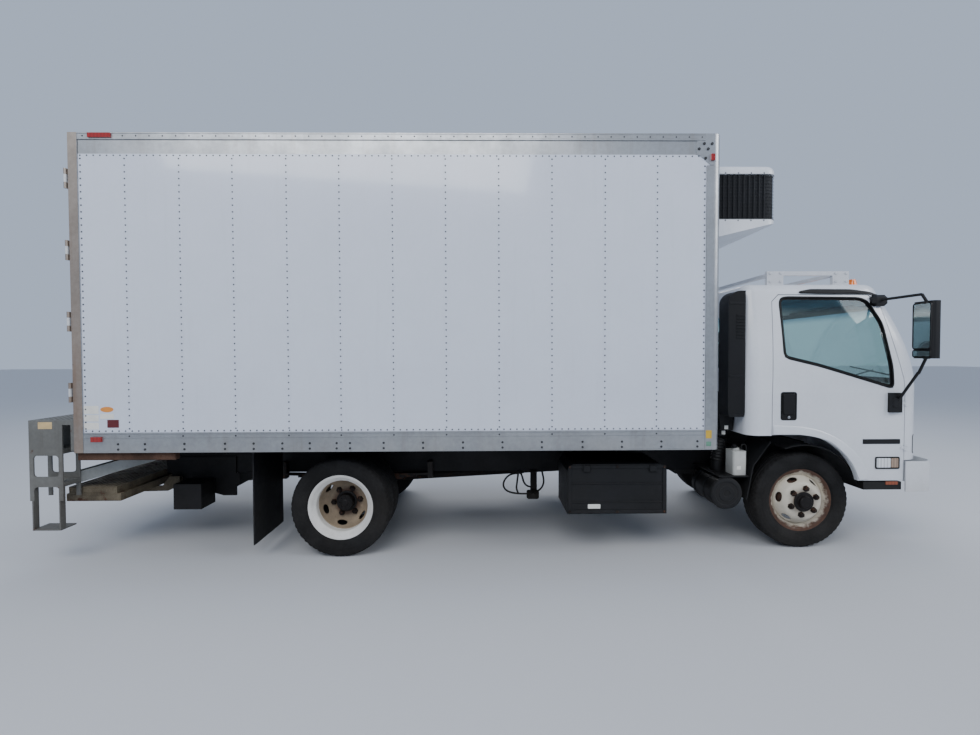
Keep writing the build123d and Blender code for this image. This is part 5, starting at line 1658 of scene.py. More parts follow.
@dataclass
class BodySides(Assembly):
    """Seams, rivets, rails, bolts and blank labels on the insulated body."""

    seams: tuple[float, ...] = (-5.369, -4.961, -4.56, -4.153, -3.753, -3.349, -2.943, -2.536, -2.128, -1.719, -1.317)
    ends: Pair = (-5.7, -0.952)
    panel_y: float = 1.214
    rail_y: float = 1.219
    foot_z: float = 1.041
    head_z: float = 3.157
    nose_x: float = 1.698
    roof_z: float = 3.307
    rivet_pitch: float = 0.05
    seam_half: float = 0.013
    bolt_pairs: tuple[float, ...] = (
        -5.456, -5.252, -4.952, -4.643, -4.424, -4.205, -3.995, -3.789, -3.687, -3.428, -3.125, -2.817, -2.512,
        -2.207, -1.892, -1.586, -1.279, -0.998,
    )
    bolt_heights: Pair = (0.912, 0.953)
    seam_bolt_z: float = 1.014
    top_rivet_z: float = 3.2895
    rail_ends: Pair = (-5.716, -0.945)
    lips: tuple[Point, ...] = (
        (1.028, 1.0405, 0.004), (0.997, 1.003, 0.0022), (0.886, 0.897, 0.004), (3.262, 3.276, 0.003),
        (3.305, 3.3165, 0.003),
    )
    post_corners: tuple[Pair, Pair] = ((-0.94, 0.89), (-0.882, 3.075))
    panel_rivet: Profile = ((0.0068, -0.001), (0.006, 0.0022), (0.0032, 0.0036), (0.0, 0.0039))
    rail_bolt: Profile = ((0.009, -0.001), (0.009, 0.003), (0.0065, 0.0055), (0.0, 0.006))
    seam_bolt: Profile = ((0.007, -0.001), (0.006, 0.002), (0.0, 0.0035))
    cap_bolts: Profile = ((-1.0, 3.2), (-0.95, 3.13), (-0.93, 3.2), (-0.9, 3.24), (-0.96, 3.24))
    white_labels: tuple[tuple[float, float, float, float], ...] = (
        (-5.714, 1.186, -5.602, 1.247), (-5.714, 1.128, -5.602, 1.177), (-5.714, 1.066, -5.602, 1.118),
        (-5.592, 1.148, -5.487, 1.184),
    )

    def build(self) -> None:
        """Make both sides, the blank labels, and the seams of the front wall and the roof."""
        for side in Side:
            self.panels(side)
            self.rails(side)
        self.labels()
        self.nose()

    def panels(self, side: Side) -> None:
        """Make the seam strips and all rivets of one side.

        Args:
            side: Side of the truck.
        """
        ground = Flat.side(side, self.panel_y)
        strips = Surface()
        for seam in self.seams:
            x, half = ahead(seam), self.seam_half
            outline = box_outline((x - half, self.foot_z + 0.001), (x + half, self.head_z - 0.001), 0.001, 2)
            strips.plate(ground, outline, -0.001, 0.0009, 0.0005)
        self.make(f"panel_seams_{side.word}", strips, "panel_white")
        heights = np.arange(self.foot_z + 0.03, self.head_z - 0.02, self.rivet_pitch)
        columns = [ahead(x) for x in (*self.seams, *self.ends)]
        run = np.arange(ahead(self.ends[0]), ahead(self.ends[1]), self.rivet_pitch)
        heads = Surface()
        heads.studs(ground, crossed(columns, heights), self.panel_rivet)
        heads.studs(ground, crossed(run, (self.foot_z + 0.012, self.head_z - 0.012)))
        self.make(f"panel_rivets_{side.word}", heads, "rail_alloy", RIVET_DARK)

    def rails(self, side: Side) -> None:
        """Make the lips, bolts and rivets of the bottom and top rails of one side.

        Args:
            side: Side of the truck.
        """
        ground = Flat.side(side, self.rail_y)
        start, end = (ahead(x) for x in self.rail_ends)
        lips = Surface()
        for low, high, lift in self.lips:
            lips.plate(ground, box_outline((start, low), (end, high), 0.001, 2), -0.002, lift, 0.0015)
        (post_x, foot), (post_end, head) = self.post_corners
        post = box_outline((ahead(post_x), foot), (ahead(post_end), head), 0.004, 3)
        lips.plate(ground, post, -0.002, 0.003, 0.0015)
        lips.plate(Flat.side(side, self.panel_y), post, -0.002, 0.0075, 0.0015)
        rear = box_outline((ahead(-5.719), 0.89), (ahead(-5.7165), 3.31), 0.001, 2)
        lips.plate(ground, rear, -0.002, 0.003, 0.0012)
        self.make(f"rail_lips_{side.word}", lips, "rail_alloy")
        bolts = Surface()
        bolts.studs(ground, crossed([ahead(x) for x in self.bolt_pairs], self.bolt_heights), self.rail_bolt)
        bolts.studs(ground, [(ahead(x), self.seam_bolt_z) for x in self.seams], self.seam_bolt)
        bolts.studs(ground, crossed(np.arange(start + 0.04, end, 0.1), (self.top_rivet_z,)))
        bolts.studs(ground, [(ahead(x), z) for x, z in self.cap_bolts], BOLT_HEAD)
        self.make(f"rail_bolts_{side.word}", bolts, "rail_alloy", BOLT_DARK)

    def labels(self) -> None:
        """Make the blank stickers of the right side."""
        ground = Flat.side(Side.RIGHT, self.panel_y)
        rail = Flat.side(Side.RIGHT, self.rail_y + 0.003)
        sheets = (
            ("white", BLANK_WHITE, ground, self.white_labels),
            ("red", BLANK_RED, ground, ((-5.538, 1.079, -5.45, 1.14),)),
            ("yellow", BLANK_YELLOW, rail, ((-0.934, 0.975, -0.888, 1.038),)),
            ("green", BLANK_GREEN, rail, ((-0.93, 0.915, -0.892, 0.95),)),
            ("frame", BLANK_CREAM, Flat.side(Side.RIGHT, 1.2), ((-6.076, 1.07, -5.97, 1.122),)),
        )
        for word, finish, face, spans in sheets:
            sheet = Surface()
            for x_low, z_low, x_high, z_high in spans:
                outline = box_outline((ahead(x_low), z_low), (ahead(x_high), z_high), 0.003, 3)
                sheet.plate(face, outline, -0.0005, 0.0012, 0.0003)
            self.make(f"blank_label_{word}", sheet, "panel_white", finish)
        oval = Surface()
        outline = round_outline((0.0, 0.0), 1.0) * (0.05, 0.021) + (ahead(-5.539), 1.219)
        oval.plate(ground, outline, -0.0005, 0.0012, 0.0003)
        self.make("blank_label_orange", oval, "panel_white", BLANK_ORANGE)

    def nose(self) -> None:
        """Make the seams and rivets of the body's front wall and the seams of its roof."""
        wall = Flat.front(self.nose_x)
        seams, heads = Surface(), Surface()
        across = np.linspace(-0.8, 0.8, 5)
        for y in across:
            outline = box_outline((y - self.seam_half, 0.92), (y + self.seam_half, 3.26), 0.001, 2)
            seams.plate(wall, outline, -0.001, 0.0009, 0.0005)
        heights = np.arange(0.95, 3.25, 2 * self.rivet_pitch)
        heads.studs(wall, crossed(across, heights), RIVET, 6)
        roof = Flat.top(self.roof_z)
        columns = [ahead(seam) for seam in self.seams]
        for x in columns:
            seams.plate(roof, box_outline((x - 0.014, -1.165), (x + 0.014, 1.165), 0.001, 2), -0.001, 0.0022, 0.0008)
        heads.studs(Flat.top(self.roof_z + 0.0015), crossed(columns, np.arange(-1.12, 1.15, 0.08)), RIVET, 6)
        self.make("nose_and_roof_seams", seams, "panel_white")
        self.make("nose_and_roof_rivets", heads, "rail_alloy", RIVET_DARK)


def outline_path(points: object, radius: float, steps: int = 6) -> np.ndarray:
    """Round a closed outline given by its distances from the front axle."""
    return rounded(np.asarray(points, float) + (FRONT_AXLE_X, 0.0), radius, steps)


def spaced(path: np.ndarray, count: int) -> np.ndarray:
    """Put points at even steps of length along a path.

    Args:
        path: Points of the path.
        count: Number of the new points.

    Returns:
        The new points.
    """
    steps = np.linalg.norm(np.diff(path, axis=0), axis=1)
    length = np.concatenate(([0.0], np.cumsum(steps)))
    marks = np.linspace(0.0, length[-1], count)
    return np.column_stack([np.interp(marks, length, path[:, axis]) for axis in range(path.shape[1])])


@dataclass
class CabDoor(Assembly):
    """Trim of one cab door."""

    side: Side = Side.RIGHT
    window: Profile = (
        (-0.2, 2.075), (-0.16, 2.1), (0.48, 2.092), (0.54, 2.06), (0.636, 1.882), (0.688, 1.52), (0.688, 1.345),
        (0.09, 1.53), (-0.194, 1.6),
    )
    handle: tuple[Pair, Pair] = ((-0.239, 1.087), (-0.106, 1.319))
    lamp: tuple[Pair, Pair] = ((0.545, 0.687), (0.743, 0.783))
    strip: tuple[Pair, Pair] = ((0.439, 0.89), (0.748, 0.93))
    swage: Profile = ((-0.298, 1.048), (0.037, 1.032), (0.29, 0.915), (0.45, 0.751), (0.497, 0.6))
    arch: Profile = ((-0.298, 0.972), (-0.052, 0.972), (0.155, 0.925), (0.262, 0.838), (0.35, 0.74), (0.408, 0.6))
    flare_ways: tuple[float, ...] = (0.0, 0.0, 0.06, 0.2, 0.5, 0.85, 0.97, 1.0, 1.0)
    flare_lifts: tuple[float, ...] = (-0.002, 0.0006, 0.0035, 0.005, 0.0085, 0.013, 0.013, 0.01, -0.002)
    mirror_half: float = 0.078
    lock_head: Profile = ((0.011, 0.0), (0.011, 0.0055), (0.009, 0.0065), (0.0, 0.0065))

    def __post_init__(self) -> None:
        """Take the body and the skin of the door's side."""
        self.body = f"cab_door_{self.side.word}"
        self.skin = CabSkin(self.side)

    def build(self) -> None:
        """Make the trim of the door."""
        self.window_trim()
        self.panel_trim()
        self.flare()
        self.mirror()

    def spot(self, corners: tuple[Pair, Pair], radius: float) -> np.ndarray:
        """Give a rounded rectangle from two corners set by distances from the front axle."""
        low, high = corners
        return box_outline((ahead(low[0]), low[1]), (ahead(high[0]), high[1]), radius, 5)

    def window_trim(self) -> None:
        """Make the rubber seal and the dark border of the door glass."""
        outline = outline_path(self.window, 0.05, 8)
        seal = Surface()
        seal.band(self.skin, outline, 0.009, 0.004, -0.012, 0.003)
        seal.band(self.skin, outline, 0.0, 0.02, -0.0164, -0.0092)
        self.make(f"window_seal_{self.side.word}", seal, "trim_black", GASKET)

    def panel_trim(self) -> None:
        """Make the handle, the side lamp, the blank strip and the key barrel."""
        black = Surface()
        black.band(self.skin, self.spot(self.handle, 0.022), 0.0, 0.012, -0.002, 0.0035)
        black.plate(self.skin, self.spot(self.handle, 0.022), -0.004, 0.0012, 0.0008)
        paddle = self.spot(((-0.222, 1.135), (-0.123, 1.304)), 0.018)
        black.plate(self.skin, paddle, -0.002, 0.012, 0.005)
        black.band(self.skin, self.spot(self.lamp, 0.012), 0.002, 0.009, -0.002, 0.0065)
        black.plate(self.skin, self.spot(self.lamp, 0.012), -0.004, 0.002, 0.001)
        self.make(f"door_trim_{self.side.word}", black, "trim_black")
        strip = Surface()
        strip.plate(self.skin, self.spot(self.strip, 0.006), -0.002, 0.003, 0.0012)
        self.make(f"blank_strip_{self.side.word}", strip, "trim_black", FINISHES["mirror_black"])
        clear = Surface()
        clear.plate(self.skin, self.spot(((0.554, 0.696), (0.672, 0.774)), 0.008), 0.0, 0.0075, 0.003)
        self.make(f"side_lamp_clear_{self.side.word}", clear, "lamp_clear")
        amber = Surface()
        amber.plate(self.skin, self.spot(((0.676, 0.696), (0.734, 0.774)), 0.008), 0.0, 0.0075, 0.003)
        self.make(f"side_lamp_amber_{self.side.word}", amber, "lamp_amber", LENS_SMOKED)
        lock = Surface()
        lock.studs(self.skin, [(ahead(-0.172), 1.112)], self.lock_head, 16)
        self.make(f"door_key_barrel_{self.side.word}", lock, "rail_alloy", CHROME)

    def flare(self) -> None:
        """Make the raised flare between the swage line and the wheel arch.

        Between matching points of the two lines the lift grows with the way down.
        """
        upper = spaced(rounded(np.array(self.swage) + (FRONT_AXLE_X, 0.0), 0.2, 9, False), 60)
        lower = spaced(rounded(np.array(self.arch) + (FRONT_AXLE_X, 0.0), 0.1, 9, False), 60)
        way = np.array(self.flare_ways)
        spots = upper[:, None] * (1 - way)[None, :, None] + lower[:, None] * way[None, :, None]
        strip = Surface()
        strip.grid(self.skin.lay(spots, np.broadcast_to(self.flare_lifts, spots.shape[:2])), caps=True)
        self.make(f"arch_flare_{self.side.word}", strip, "cab_paint")

    def mirror(self) -> None:
        """Make the mirror's rim, its large and small glass, the clamps on its arms and the bracket's feet."""
        sign = self.side.value
        x, y = ahead(0.762), sign * 1.25
        rear = Flat.front(x - 0.039, -1.0)
        rim = Surface()
        face = box_outline((y - self.mirror_half, 1.665), (y + self.mirror_half, 2.015), 0.02, 5)
        small = box_outline((y - self.mirror_half, 1.603), (y + self.mirror_half, 1.652), 0.012, 4)
        rim.band(rear, face, 0.006, 0.004, -0.004, 0.006)
        rim.band(rear, small, 0.004, 0.003, -0.004, 0.006)
        for z in (1.598, 2.018):
            rim.block((x - 0.022, y - 0.02, z - 0.012), (x + 0.022, y + 0.02, z + 0.012), 0.006)
        inner, outer = sorted((sign * 0.905, sign * 0.985))
        rim.block((ahead(0.555), inner, 2.022), (ahead(0.682), outer, 2.114), 0.022)
        rim.block((ahead(0.66), sign * 1.056 - 0.012, 1.19), (ahead(0.722), sign * 1.056 + 0.012, 1.27), 0.008)
        self.make(f"mirror_rim_{self.side.word}", rim, "mirror_black")
        glass = Surface()
        glass.plate(rear, moved_in(face, 0.003), -0.002, 0.003, 0.0015)
        glass.plate(rear, moved_in(small, 0.003), -0.002, 0.003, 0.0015)
        self.make(f"mirror_glass_{self.side.word}", glass, "mirror_black", MIRROR_GLASS)


@dataclass
class CabFront(Assembly):
    """Screen border, wipers, grille, lamps, bumper fittings and roof trim of the cab."""

    body: str = "cab"
    screen: Profile = ((-0.88, 1.37), (0.88, 1.37), (0.8, 2.06), (-0.8, 2.06))
    grille_half: float = 0.56
    slot_heights: tuple[float, ...] = (0.585, 0.62, 0.655)
    wiper_feet: Pair = (-0.1, 0.56)
    grille_heights: Pair = (0.815, 0.955)
    bar_heights: tuple[float, ...] = (0.848, 0.884, 0.92)
    bowl: Profile = ((0.04, -0.002), (0.04, 0.004), (0.03, 0.0065), (0.0, 0.008))
    wiper_nut: Profile = ((0.018, -0.002), (0.018, 0.016), (0.01, 0.022), (0.0, 0.022))
    rain_line: Profile = (
        (-0.033, 2.15), (0.06, 2.168), (0.4, 2.166), (0.56, 2.145), (0.66, 2.118), (0.6, 2.124), (0.5, 2.126),
        (0.12, 2.128), (-0.03, 2.132),
    )
    nose: CabNose = field(default_factory=CabNose)

    def build(self) -> None:
        """Make the front of the cab."""
        self.screen_trim()
        self.wipers()
        self.grille()
        self.lamps()
        self.bumper()
        self.roof()

    def screen_trim(self) -> None:
        """Make the windscreen's seal and dark border."""
        outline = rounded(self.screen, 0.08, 9)
        seal = Surface()
        seal.band(self.nose, outline, 0.018, 0.004, -0.014, 0.003)
        seal.band(self.nose, outline, 0.0, 0.045, -0.018, -0.0085)
        self.make("screen_seal", seal, "trim_black", GASKET)

    def wipers(self) -> None:
        """Make two wipers: a tapered arm and a blade that lies along the glass."""
        arms = Surface()
        for foot in self.wiper_feet:
            tip = foot - 0.3
            pivot = self.nose.lay(np.array((foot, 1.335)), 0.014)
            middle = self.nose.lay(np.array((foot - 0.05, 1.42)), 0.018)
            end = self.nose.lay(np.array((tip, 1.475)), 0.012)
            arms.tube(rounded((pivot, middle, end), 0.05, 6, False), 0.0065, 8)
            span = np.column_stack((np.linspace(tip - 0.29, tip + 0.29, 24), np.linspace(1.43, 1.5, 24)))
            arms.tube(self.nose.lay(span, 0.0015), 0.007, 8)
            arms.studs(self.nose, [(foot, 1.335)], self.wiper_nut, 16)
        self.make("wipers", arms, "mirror_black")

    def grille(self) -> None:
        """Make the slotted grille between the lamps and the slim intake below the screen."""
        half, (foot, head) = self.grille_half, self.grille_heights
        opening = box_outline((-half, foot), (half, head), 0.02, 5)
        back = Surface()
        back.plate(self.nose, opening, -0.004, 0.0022, 0.001)
        back.plate(self.nose, box_outline((-0.48, 1.16), (0.48, 1.2), 0.014, 5), -0.004, 0.0022, 0.001)
        back.plate(self.nose, box_outline((-0.76, 1.3), (0.76, 1.352), 0.018, 5), -0.004, 0.004, 0.0015)
        self.make("grille_back", back, "trim_black")
        bars = Surface()
        bars.band(self.nose, opening, 0.006, 0.006, -0.002, 0.012)
        for z in self.bar_heights:
            bar = box_outline((-half + 0.004, z - 0.008), (half - 0.004, z + 0.008), 0.004, 3)
            bars.plate(self.nose, bar, 0.0, 0.014, 0.004)
        bars.plate(self.nose, box_outline((-0.12, 1.02), (0.12, 1.07), 0.015, 5), -0.002, 0.005, 0.002)
        self.make("grille_bars", bars, "cab_paint")

    def lamps(self) -> None:
        """Make the rims and bowls of the headlamps and the turn lenses at the corners."""
        rims, lenses, clear = Surface(), Surface(), Surface()
        for side in Side:
            sign = side.value
            low, high = sorted((sign * 0.6, sign * 0.82))
            rims.band(self.nose, box_outline((low, 0.806), (high, 0.96), 0.02, 5), 0.005, 0.008, -0.004, 0.005)
            for centre in (0.665, 0.755):
                clear.studs(self.nose, [(sign * centre, 0.882)], self.bowl, 28)
            skin = CabSkin(side)
            turn = box_outline((ahead(0.878), 0.812), (ahead(0.938), 0.953), 0.012, 5)
            rims.band(skin, turn, 0.006, 0.002, -0.003, 0.004)
            lenses.plate(skin, turn, -0.002, 0.0035, 0.002)
        self.make("lamp_rims", rims, "trim_black")
        self.make("lamp_bowls", clear, "lamp_clear")
        self.make("turn_lenses", lenses, "lamp_clear")

    def bumper(self) -> None:
        """Make the bumper's fog lamps, its slots and the blank plate holder, and the valance reflectors."""
        face = BumperFace()
        rims, clear, amber = Surface(), Surface(), Surface()
        for side in Side:
            lamp = box_outline((side.value * 0.72 - 0.06, 0.575), (side.value * 0.72 + 0.06, 0.655), 0.02, 5)
            rims.band(face, lamp, 0.008, 0.005, -0.003, 0.006)
            clear.plate(face, lamp, -0.002, 0.004, 0.003)
            valance = Flat.side(side, 1.026)
            reflector = box_outline((ahead(0.637), 0.553), (ahead(0.739), 0.58), 0.006, 4)
            amber.plate(valance, reflector, -0.001, 0.005, 0.002)
        for z in self.slot_heights:
            rims.plate(face, box_outline((-0.4, z - 0.009), (0.4, z + 0.009), 0.008, 4), -0.003, 0.0006, 0.0004)
        self.make("bumper_lamp_rims", rims, "trim_black", body="chassis")
        self.make("bumper_lamps", clear, "lamp_clear", body="chassis")
        self.make("valance_reflectors", amber, "lamp_amber", REFLECTOR, "chassis")
        holder = Surface()
        holder.plate(face, box_outline((-0.16, 0.69), (0.16, 0.745), 0.01, 4), -0.002, 0.0012, 0.0008)
        self.make("blank_plate_holder", holder, "bumper_white", body="chassis")

    def roof(self) -> None:
        """Make the dark rain strip over each door, the rack's bolts and the ribs of the intake."""
        for side in Side:
            skin = CabSkin(side)
            strip = Surface()
            strip.plate(skin, outline_path(self.rain_line, 0.02, 4), -0.004, 0.014, 0.005)
            self.make(f"rain_strip_{side.word}", strip, "trim_black")
        bolts = Surface()
        for side in Side:
            rail = Flat.side(side, 0.79)
            places = [(ahead(x), z) for x in (-0.2, -0.11, 0.367, 0.457) for z in (2.25, 2.32)]
            bolts.studs(rail, places, BOLT_HEAD, 6)
        self.make("rack_bolts", bolts, "rack_white")
        ribs = Surface()
        wall = Flat.side(Side.RIGHT, 0.97)
        for z in np.linspace(1.765, 1.948, 8):
            rib = box_outline((ahead(-0.575), z - 0.007), (ahead(-0.505), z + 0.007), 0.005, 3)
            ribs.plate(wall, rib, -0.003, 0.006, 0.003)
        for z in (1.12, 1.45, 2.05):
            collar = box_outline((ahead(-0.632), z - 0.011), (ahead(-0.508), z + 0.011), 0.004, 3)
            ribs.plate(wall, collar, -0.003, 0.004, 0.002)
        self.make("intake_ribs", ribs, "trim_black", FINISHES["mirror_black"])


@dataclass
class CabSeats(Assembly):
    """Padded seats in place of the plain ones: a bench on the right and the driver's seat."""

    body: str = "cab"
    spans: Profile = ((-0.88, -0.48), (-0.46, -0.06), (0.27, 0.81))
    cushion_x: Pair = (-0.3, 0.18)
    cushion_z: Pair = (1.15, 1.285)
    back_foot: Pair = (-0.25, 1.24)
    back_head: Pair = (-0.335, 1.74)
    back_half: float = 0.062
    piping_radius: float = 0.0045
    fills: tuple[tuple[str, float], ...] = (("cushions", 0.75), ("backs", 0.7), ("head_rests", 0.8))

    def build(self) -> None:
        """Make the cushions, backs and head rests, their piping and their bases."""
        pads = {name: Surface() for name, _ in self.fills}
        piping, bases = Surface(), Surface()
        lean = np.array((self.back_head[0] - self.back_foot[0], 0.0, self.back_head[1] - self.back_foot[1]))
        length = float(np.linalg.norm(lean))
        up = lean / length
        out = np.array((up[2], 0.0, -up[0]))
        axes = (up, (0.0, 1.0, 0.0), out)
        for low, high in self.spans:
            middle, half = (low + high) / 2, (high - low) / 2
            centre = np.array((ahead(sum(self.cushion_x) / 2), middle, sum(self.cushion_z) / 2))
            halves = ((self.cushion_x[1] - self.cushion_x[0]) / 2, half, (self.cushion_z[1] - self.cushion_z[0]) / 2)
            pads["cushions"].pad(centre, np.eye(3), halves, 4)
            foot = np.array((ahead(self.back_foot[0]), middle, self.back_foot[1]))
            pads["backs"].pad(foot + up * length / 2, axes, (length / 2, half * 0.97, self.back_half), 5)
            head = foot + up * (length + 0.055) - out * 0.01
            pads["head_rests"].pad(head, axes, (0.05, min(half * 0.6, 0.14), 0.045), 0, 0.01)
            edge = box_outline((-halves[0], -half), (halves[0], half), 0.09, 9) * 0.985
            level = np.full(len(edge), centre[2] + 0.044)
            ring = np.column_stack((centre[0] + edge[:, 0], centre[1] + edge[:, 1], level))
            piping.tube(np.vstack((ring, ring[:1])), self.piping_radius, 8)
            edge = box_outline((-length / 2, -half), (length / 2, half), 0.09, 9) * (0.985, 0.955)
            spots = foot + up * length / 2 + edge[:, :1] * up + edge[:, 1:] * np.array(axes[1])
            loop = spots + out * (self.back_half - 0.016)
            piping.tube(np.vstack((loop, loop[:1])), self.piping_radius, 8)
            bases.block((ahead(-0.29), low + 0.03, 1.1004), (ahead(0.15), high - 0.03, 1.165), 0.012)
            for side in (-0.05, 0.05):
                post = np.linspace(foot + up * (length - 0.03) + (0.0, side, 0.0), head + (0.0, side, 0.0), 4)
                bases.tube(post, 0.006, 10)
        for name, fill in self.fills:
            piece = self.make(f"seat_{name}", pads[name], "seat_cloth", crease=60)
            if name == "cushions":
                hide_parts("cab_seats")
        self.make("seat_piping", piping, "seat_cloth", SEAT_PIPING, crease=60)
        self.make("seat_bases", bases, "dash_grey")


@dataclass
class RearDoors(Assembly):
    """Gaskets, hinge bolts, lock rod guides, handles and keepers of the rear doors."""

    face: float = -3.265
    strap_face: float = -3.281
    inner: float = 0.006
    outer: float = 1.154
    foot: float = 1.156
    head: float = 3.211
    hinges: tuple[float, ...] = (1.35, 1.89, 2.43, 2.97)
    guides: tuple[float, ...] = (1.23, 1.7, 2.19, 2.68, 3.15)
    rod_y: float = 0.15
    strap_bolts: tuple[float, ...] = (0.04, 0.085, 0.13)
    bolt_rises: Pair = (-0.014, 0.014)
    rivet_columns: tuple[float, ...] = (0.04, 0.6, 1.11)
    keeper_heights: Pair = (1.143, 3.228)
    cam_heights: Pair = (1.186, 3.184)
    strap_bolt: Profile = ((0.009, -0.001), (0.009, 0.004), (0.006, 0.0065), (0.0, 0.007))
    guide_bolt: Profile = ((0.005, -0.001), (0.005, 0.002), (0.0, 0.004))
    grip_z: float = 1.496
    grip_ends: Pair = (0.34, 0.475)
    grip_radii: tuple[float, ...] = (0.006, 0.0095, 0.01, 0.01, 0.0095, 0.006)

    def build(self) -> None:
        """Make the fittings of both doors and the keepers on the rear frame."""
        keepers = Surface()
        for side in Side:
            sign = side.value
            body = f"cargo_door_{side.word}"
            wall = Flat.front(self.face, -1.0)
            low, high = sorted((sign * self.inner, sign * self.outer))
            seal = Surface()
            seal.band(wall, box_outline((low, self.foot), (high, self.head), 0.02, 5), -0.001, 0.024, -0.001, 0.005)
            self.make(f"door_gasket_{side.word}", seal, "trim_black", GASKET, body)
            steel = Surface()
            strap = Flat.front(self.strap_face, -1.0)
            places = [
                (sign * (self.outer - reach), z + rise)
                for z in self.hinges
                for reach in self.strap_bolts
                for rise in self.bolt_rises
            ]
            steel.studs(strap, places, self.strap_bolt)
            guide = Flat.front(self.face - 0.02, -1.0)
            rod = sign * self.rod_y
            places = [
                (rod + shift, z + rise) for z in self.guides for shift in (-0.021, 0.021) for rise in self.bolt_rises
            ]
            steel.studs(guide, places, self.guide_bolt, 6)
            ends = [(self.strap_face - 0.003, sign * y, self.grip_z) for y in self.grip_ends]
            steel.tube(np.linspace(*ends, 6), self.grip_radii, 12)
            for z in self.cam_heights:
                low, high = (self.face - 0.026, rod - 0.02, z - 0.016), (self.face - 0.008, rod + 0.02, z + 0.016)
                steel.block(low, high, 0.004)
            self.make(f"door_fittings_{side.word}", steel, "rail_alloy", CHROME, body)
            rows = Surface()
            heights = np.arange(self.foot + 0.06, self.head - 0.05, 0.15)
            for y in self.rivet_columns:
                rows.studs(wall, crossed((sign * y,), heights), RIVET, 6)
            self.make(f"door_rivets_{side.word}", rows, "rail_alloy", RIVET_DARK, body)
            for z in self.keeper_heights:
                low, high = (self.face - 0.024, rod - 0.026, z - 0.012), (self.face + 0.002, rod + 0.026, z + 0.012)
                keepers.block(low, high, 0.004)
        posts = Flat.front(self.face, -1.0)
        heights = np.arange(0.95, 3.28, 0.12)
        keepers.studs(posts, [(sign * 1.205, z) for sign in (-1, 1) for z in heights], RIVET, 6)
        keepers.studs(posts, [(y, 3.27) for y in np.arange(-1.1, 1.15, 0.1)], RIVET, 6)
        self.make("door_keepers", keepers, "rail_alloy", CHROME)


@dataclass
class Tail(Assembly):
    """Treads, brown sills, braces and platform ribs behind and under the body."""

    deck: Point = (-3.625, -3.265, 1.136)
    step_x: Pair = (-3.625, -3.37)
    step_tops: tuple[float, ...] = (0.658, 0.913)
    step_y: Pair = (1.035, 1.2)
    button: Profile = ((0.009, -0.001), (0.007, 0.0026), (0.0, 0.003))
    end_caps: tuple[tuple[float, float, float, float], ...] = (
        (-3.504, 0.46, -3.081, 0.51), (-3.484, 0.52, -3.112, 0.567),
    )

    def build(self) -> None:
        """Make all fittings of the tail."""
        self.treads()
        self.sills()
        self.platform()

    def treads(self) -> None:
        """Make the raised buttons of the deck and steps."""
        grip = Surface()
        rear, front, top = self.deck
        spots = crossed(np.arange(rear + 0.025, front - 0.03, 0.042), np.arange(-1.16, 1.17, 0.04))
        grip.studs(Flat.top(top), spots, self.button, 6)
        for sign in (-1, 1):
            along = np.arange(self.step_x[0] + 0.025, self.step_x[1] - 0.01, 0.04)
            rows = crossed(along, sign * np.arange(self.step_y[0] + 0.03, self.step_y[1] - 0.015, 0.035))
            for height in self.step_tops:
                grip.studs(Flat.top(height), rows, self.button, 6)
        self.make("tread_buttons", grip, "lift_grey")

    def sills(self) -> None:
        """Make the brown sills under the body's rear end and the grey braces that rise to them."""
        sills, braces = Surface(), Surface()
        for side in Side:
            low, high = sorted((side.value * 1.13, side.value * 1.19))
            sills.block((ahead(-5.788), low, 0.824), (ahead(-5.04), high, 0.8875), 0.004)
            face = Flat.side(side, 1.003)
            beam = ((ahead(-5.952), 0.6), (ahead(-5.2), 0.815), (ahead(-5.2), 0.904), (ahead(-5.952), 0.69))
            braces.plate(face, rounded(beam, 0.006, 3), 0.0, 0.021, 0.003)
        self.make("tail_sills", sills, "axle_iron", SILL_BROWN)
        self.make("tail_braces", braces, "lift_grey", BRACE_GREY)

    def platform(self) -> None:
        """Make the ribs of the folded platform, its hinge barrels and its end caps."""
        ribs = Surface()
        for x in np.linspace(-3.46, -3.14, 9):
            outline = box_outline((x - 0.009, -0.98), (x + 0.009, 0.98), 0.004, 3)
            ribs.plate(Flat.top(0.572), outline, -0.001, 0.004, 0.002)
            outline = box_outline((x - 0.007, -0.98), (x + 0.007, 0.98), 0.004, 3)
            ribs.plate(Flat.top(0.4543, -1.0), outline, -0.001, 0.003, 0.0015)
        for side in Side:
            face = Flat.side(side, 1.0)
            for rear, low, front, high in self.end_caps:
                ribs.band(face, box_outline((rear, low), (front, high), 0.01, 4), 0.0, 0.006, -0.002, 0.004)
                ribs.studs(face, [(rear + 0.03, (low + high) / 2), (front - 0.03, (low + high) / 2)])
        self.make("platform_ribs", ribs, "lift_worn", body="liftgate")
        barrels = Surface()
        for y in np.linspace(-0.9, 0.9, 7):
            line = np.column_stack((np.full(4, -3.499), np.linspace(y - 0.05, y + 0.05, 4), np.full(4, 0.527)))
            barrels.tube(line, 0.0115, 14)
        self.make("platform_hinges", barrels, "axle_iron", LUG_IRON, "liftgate")


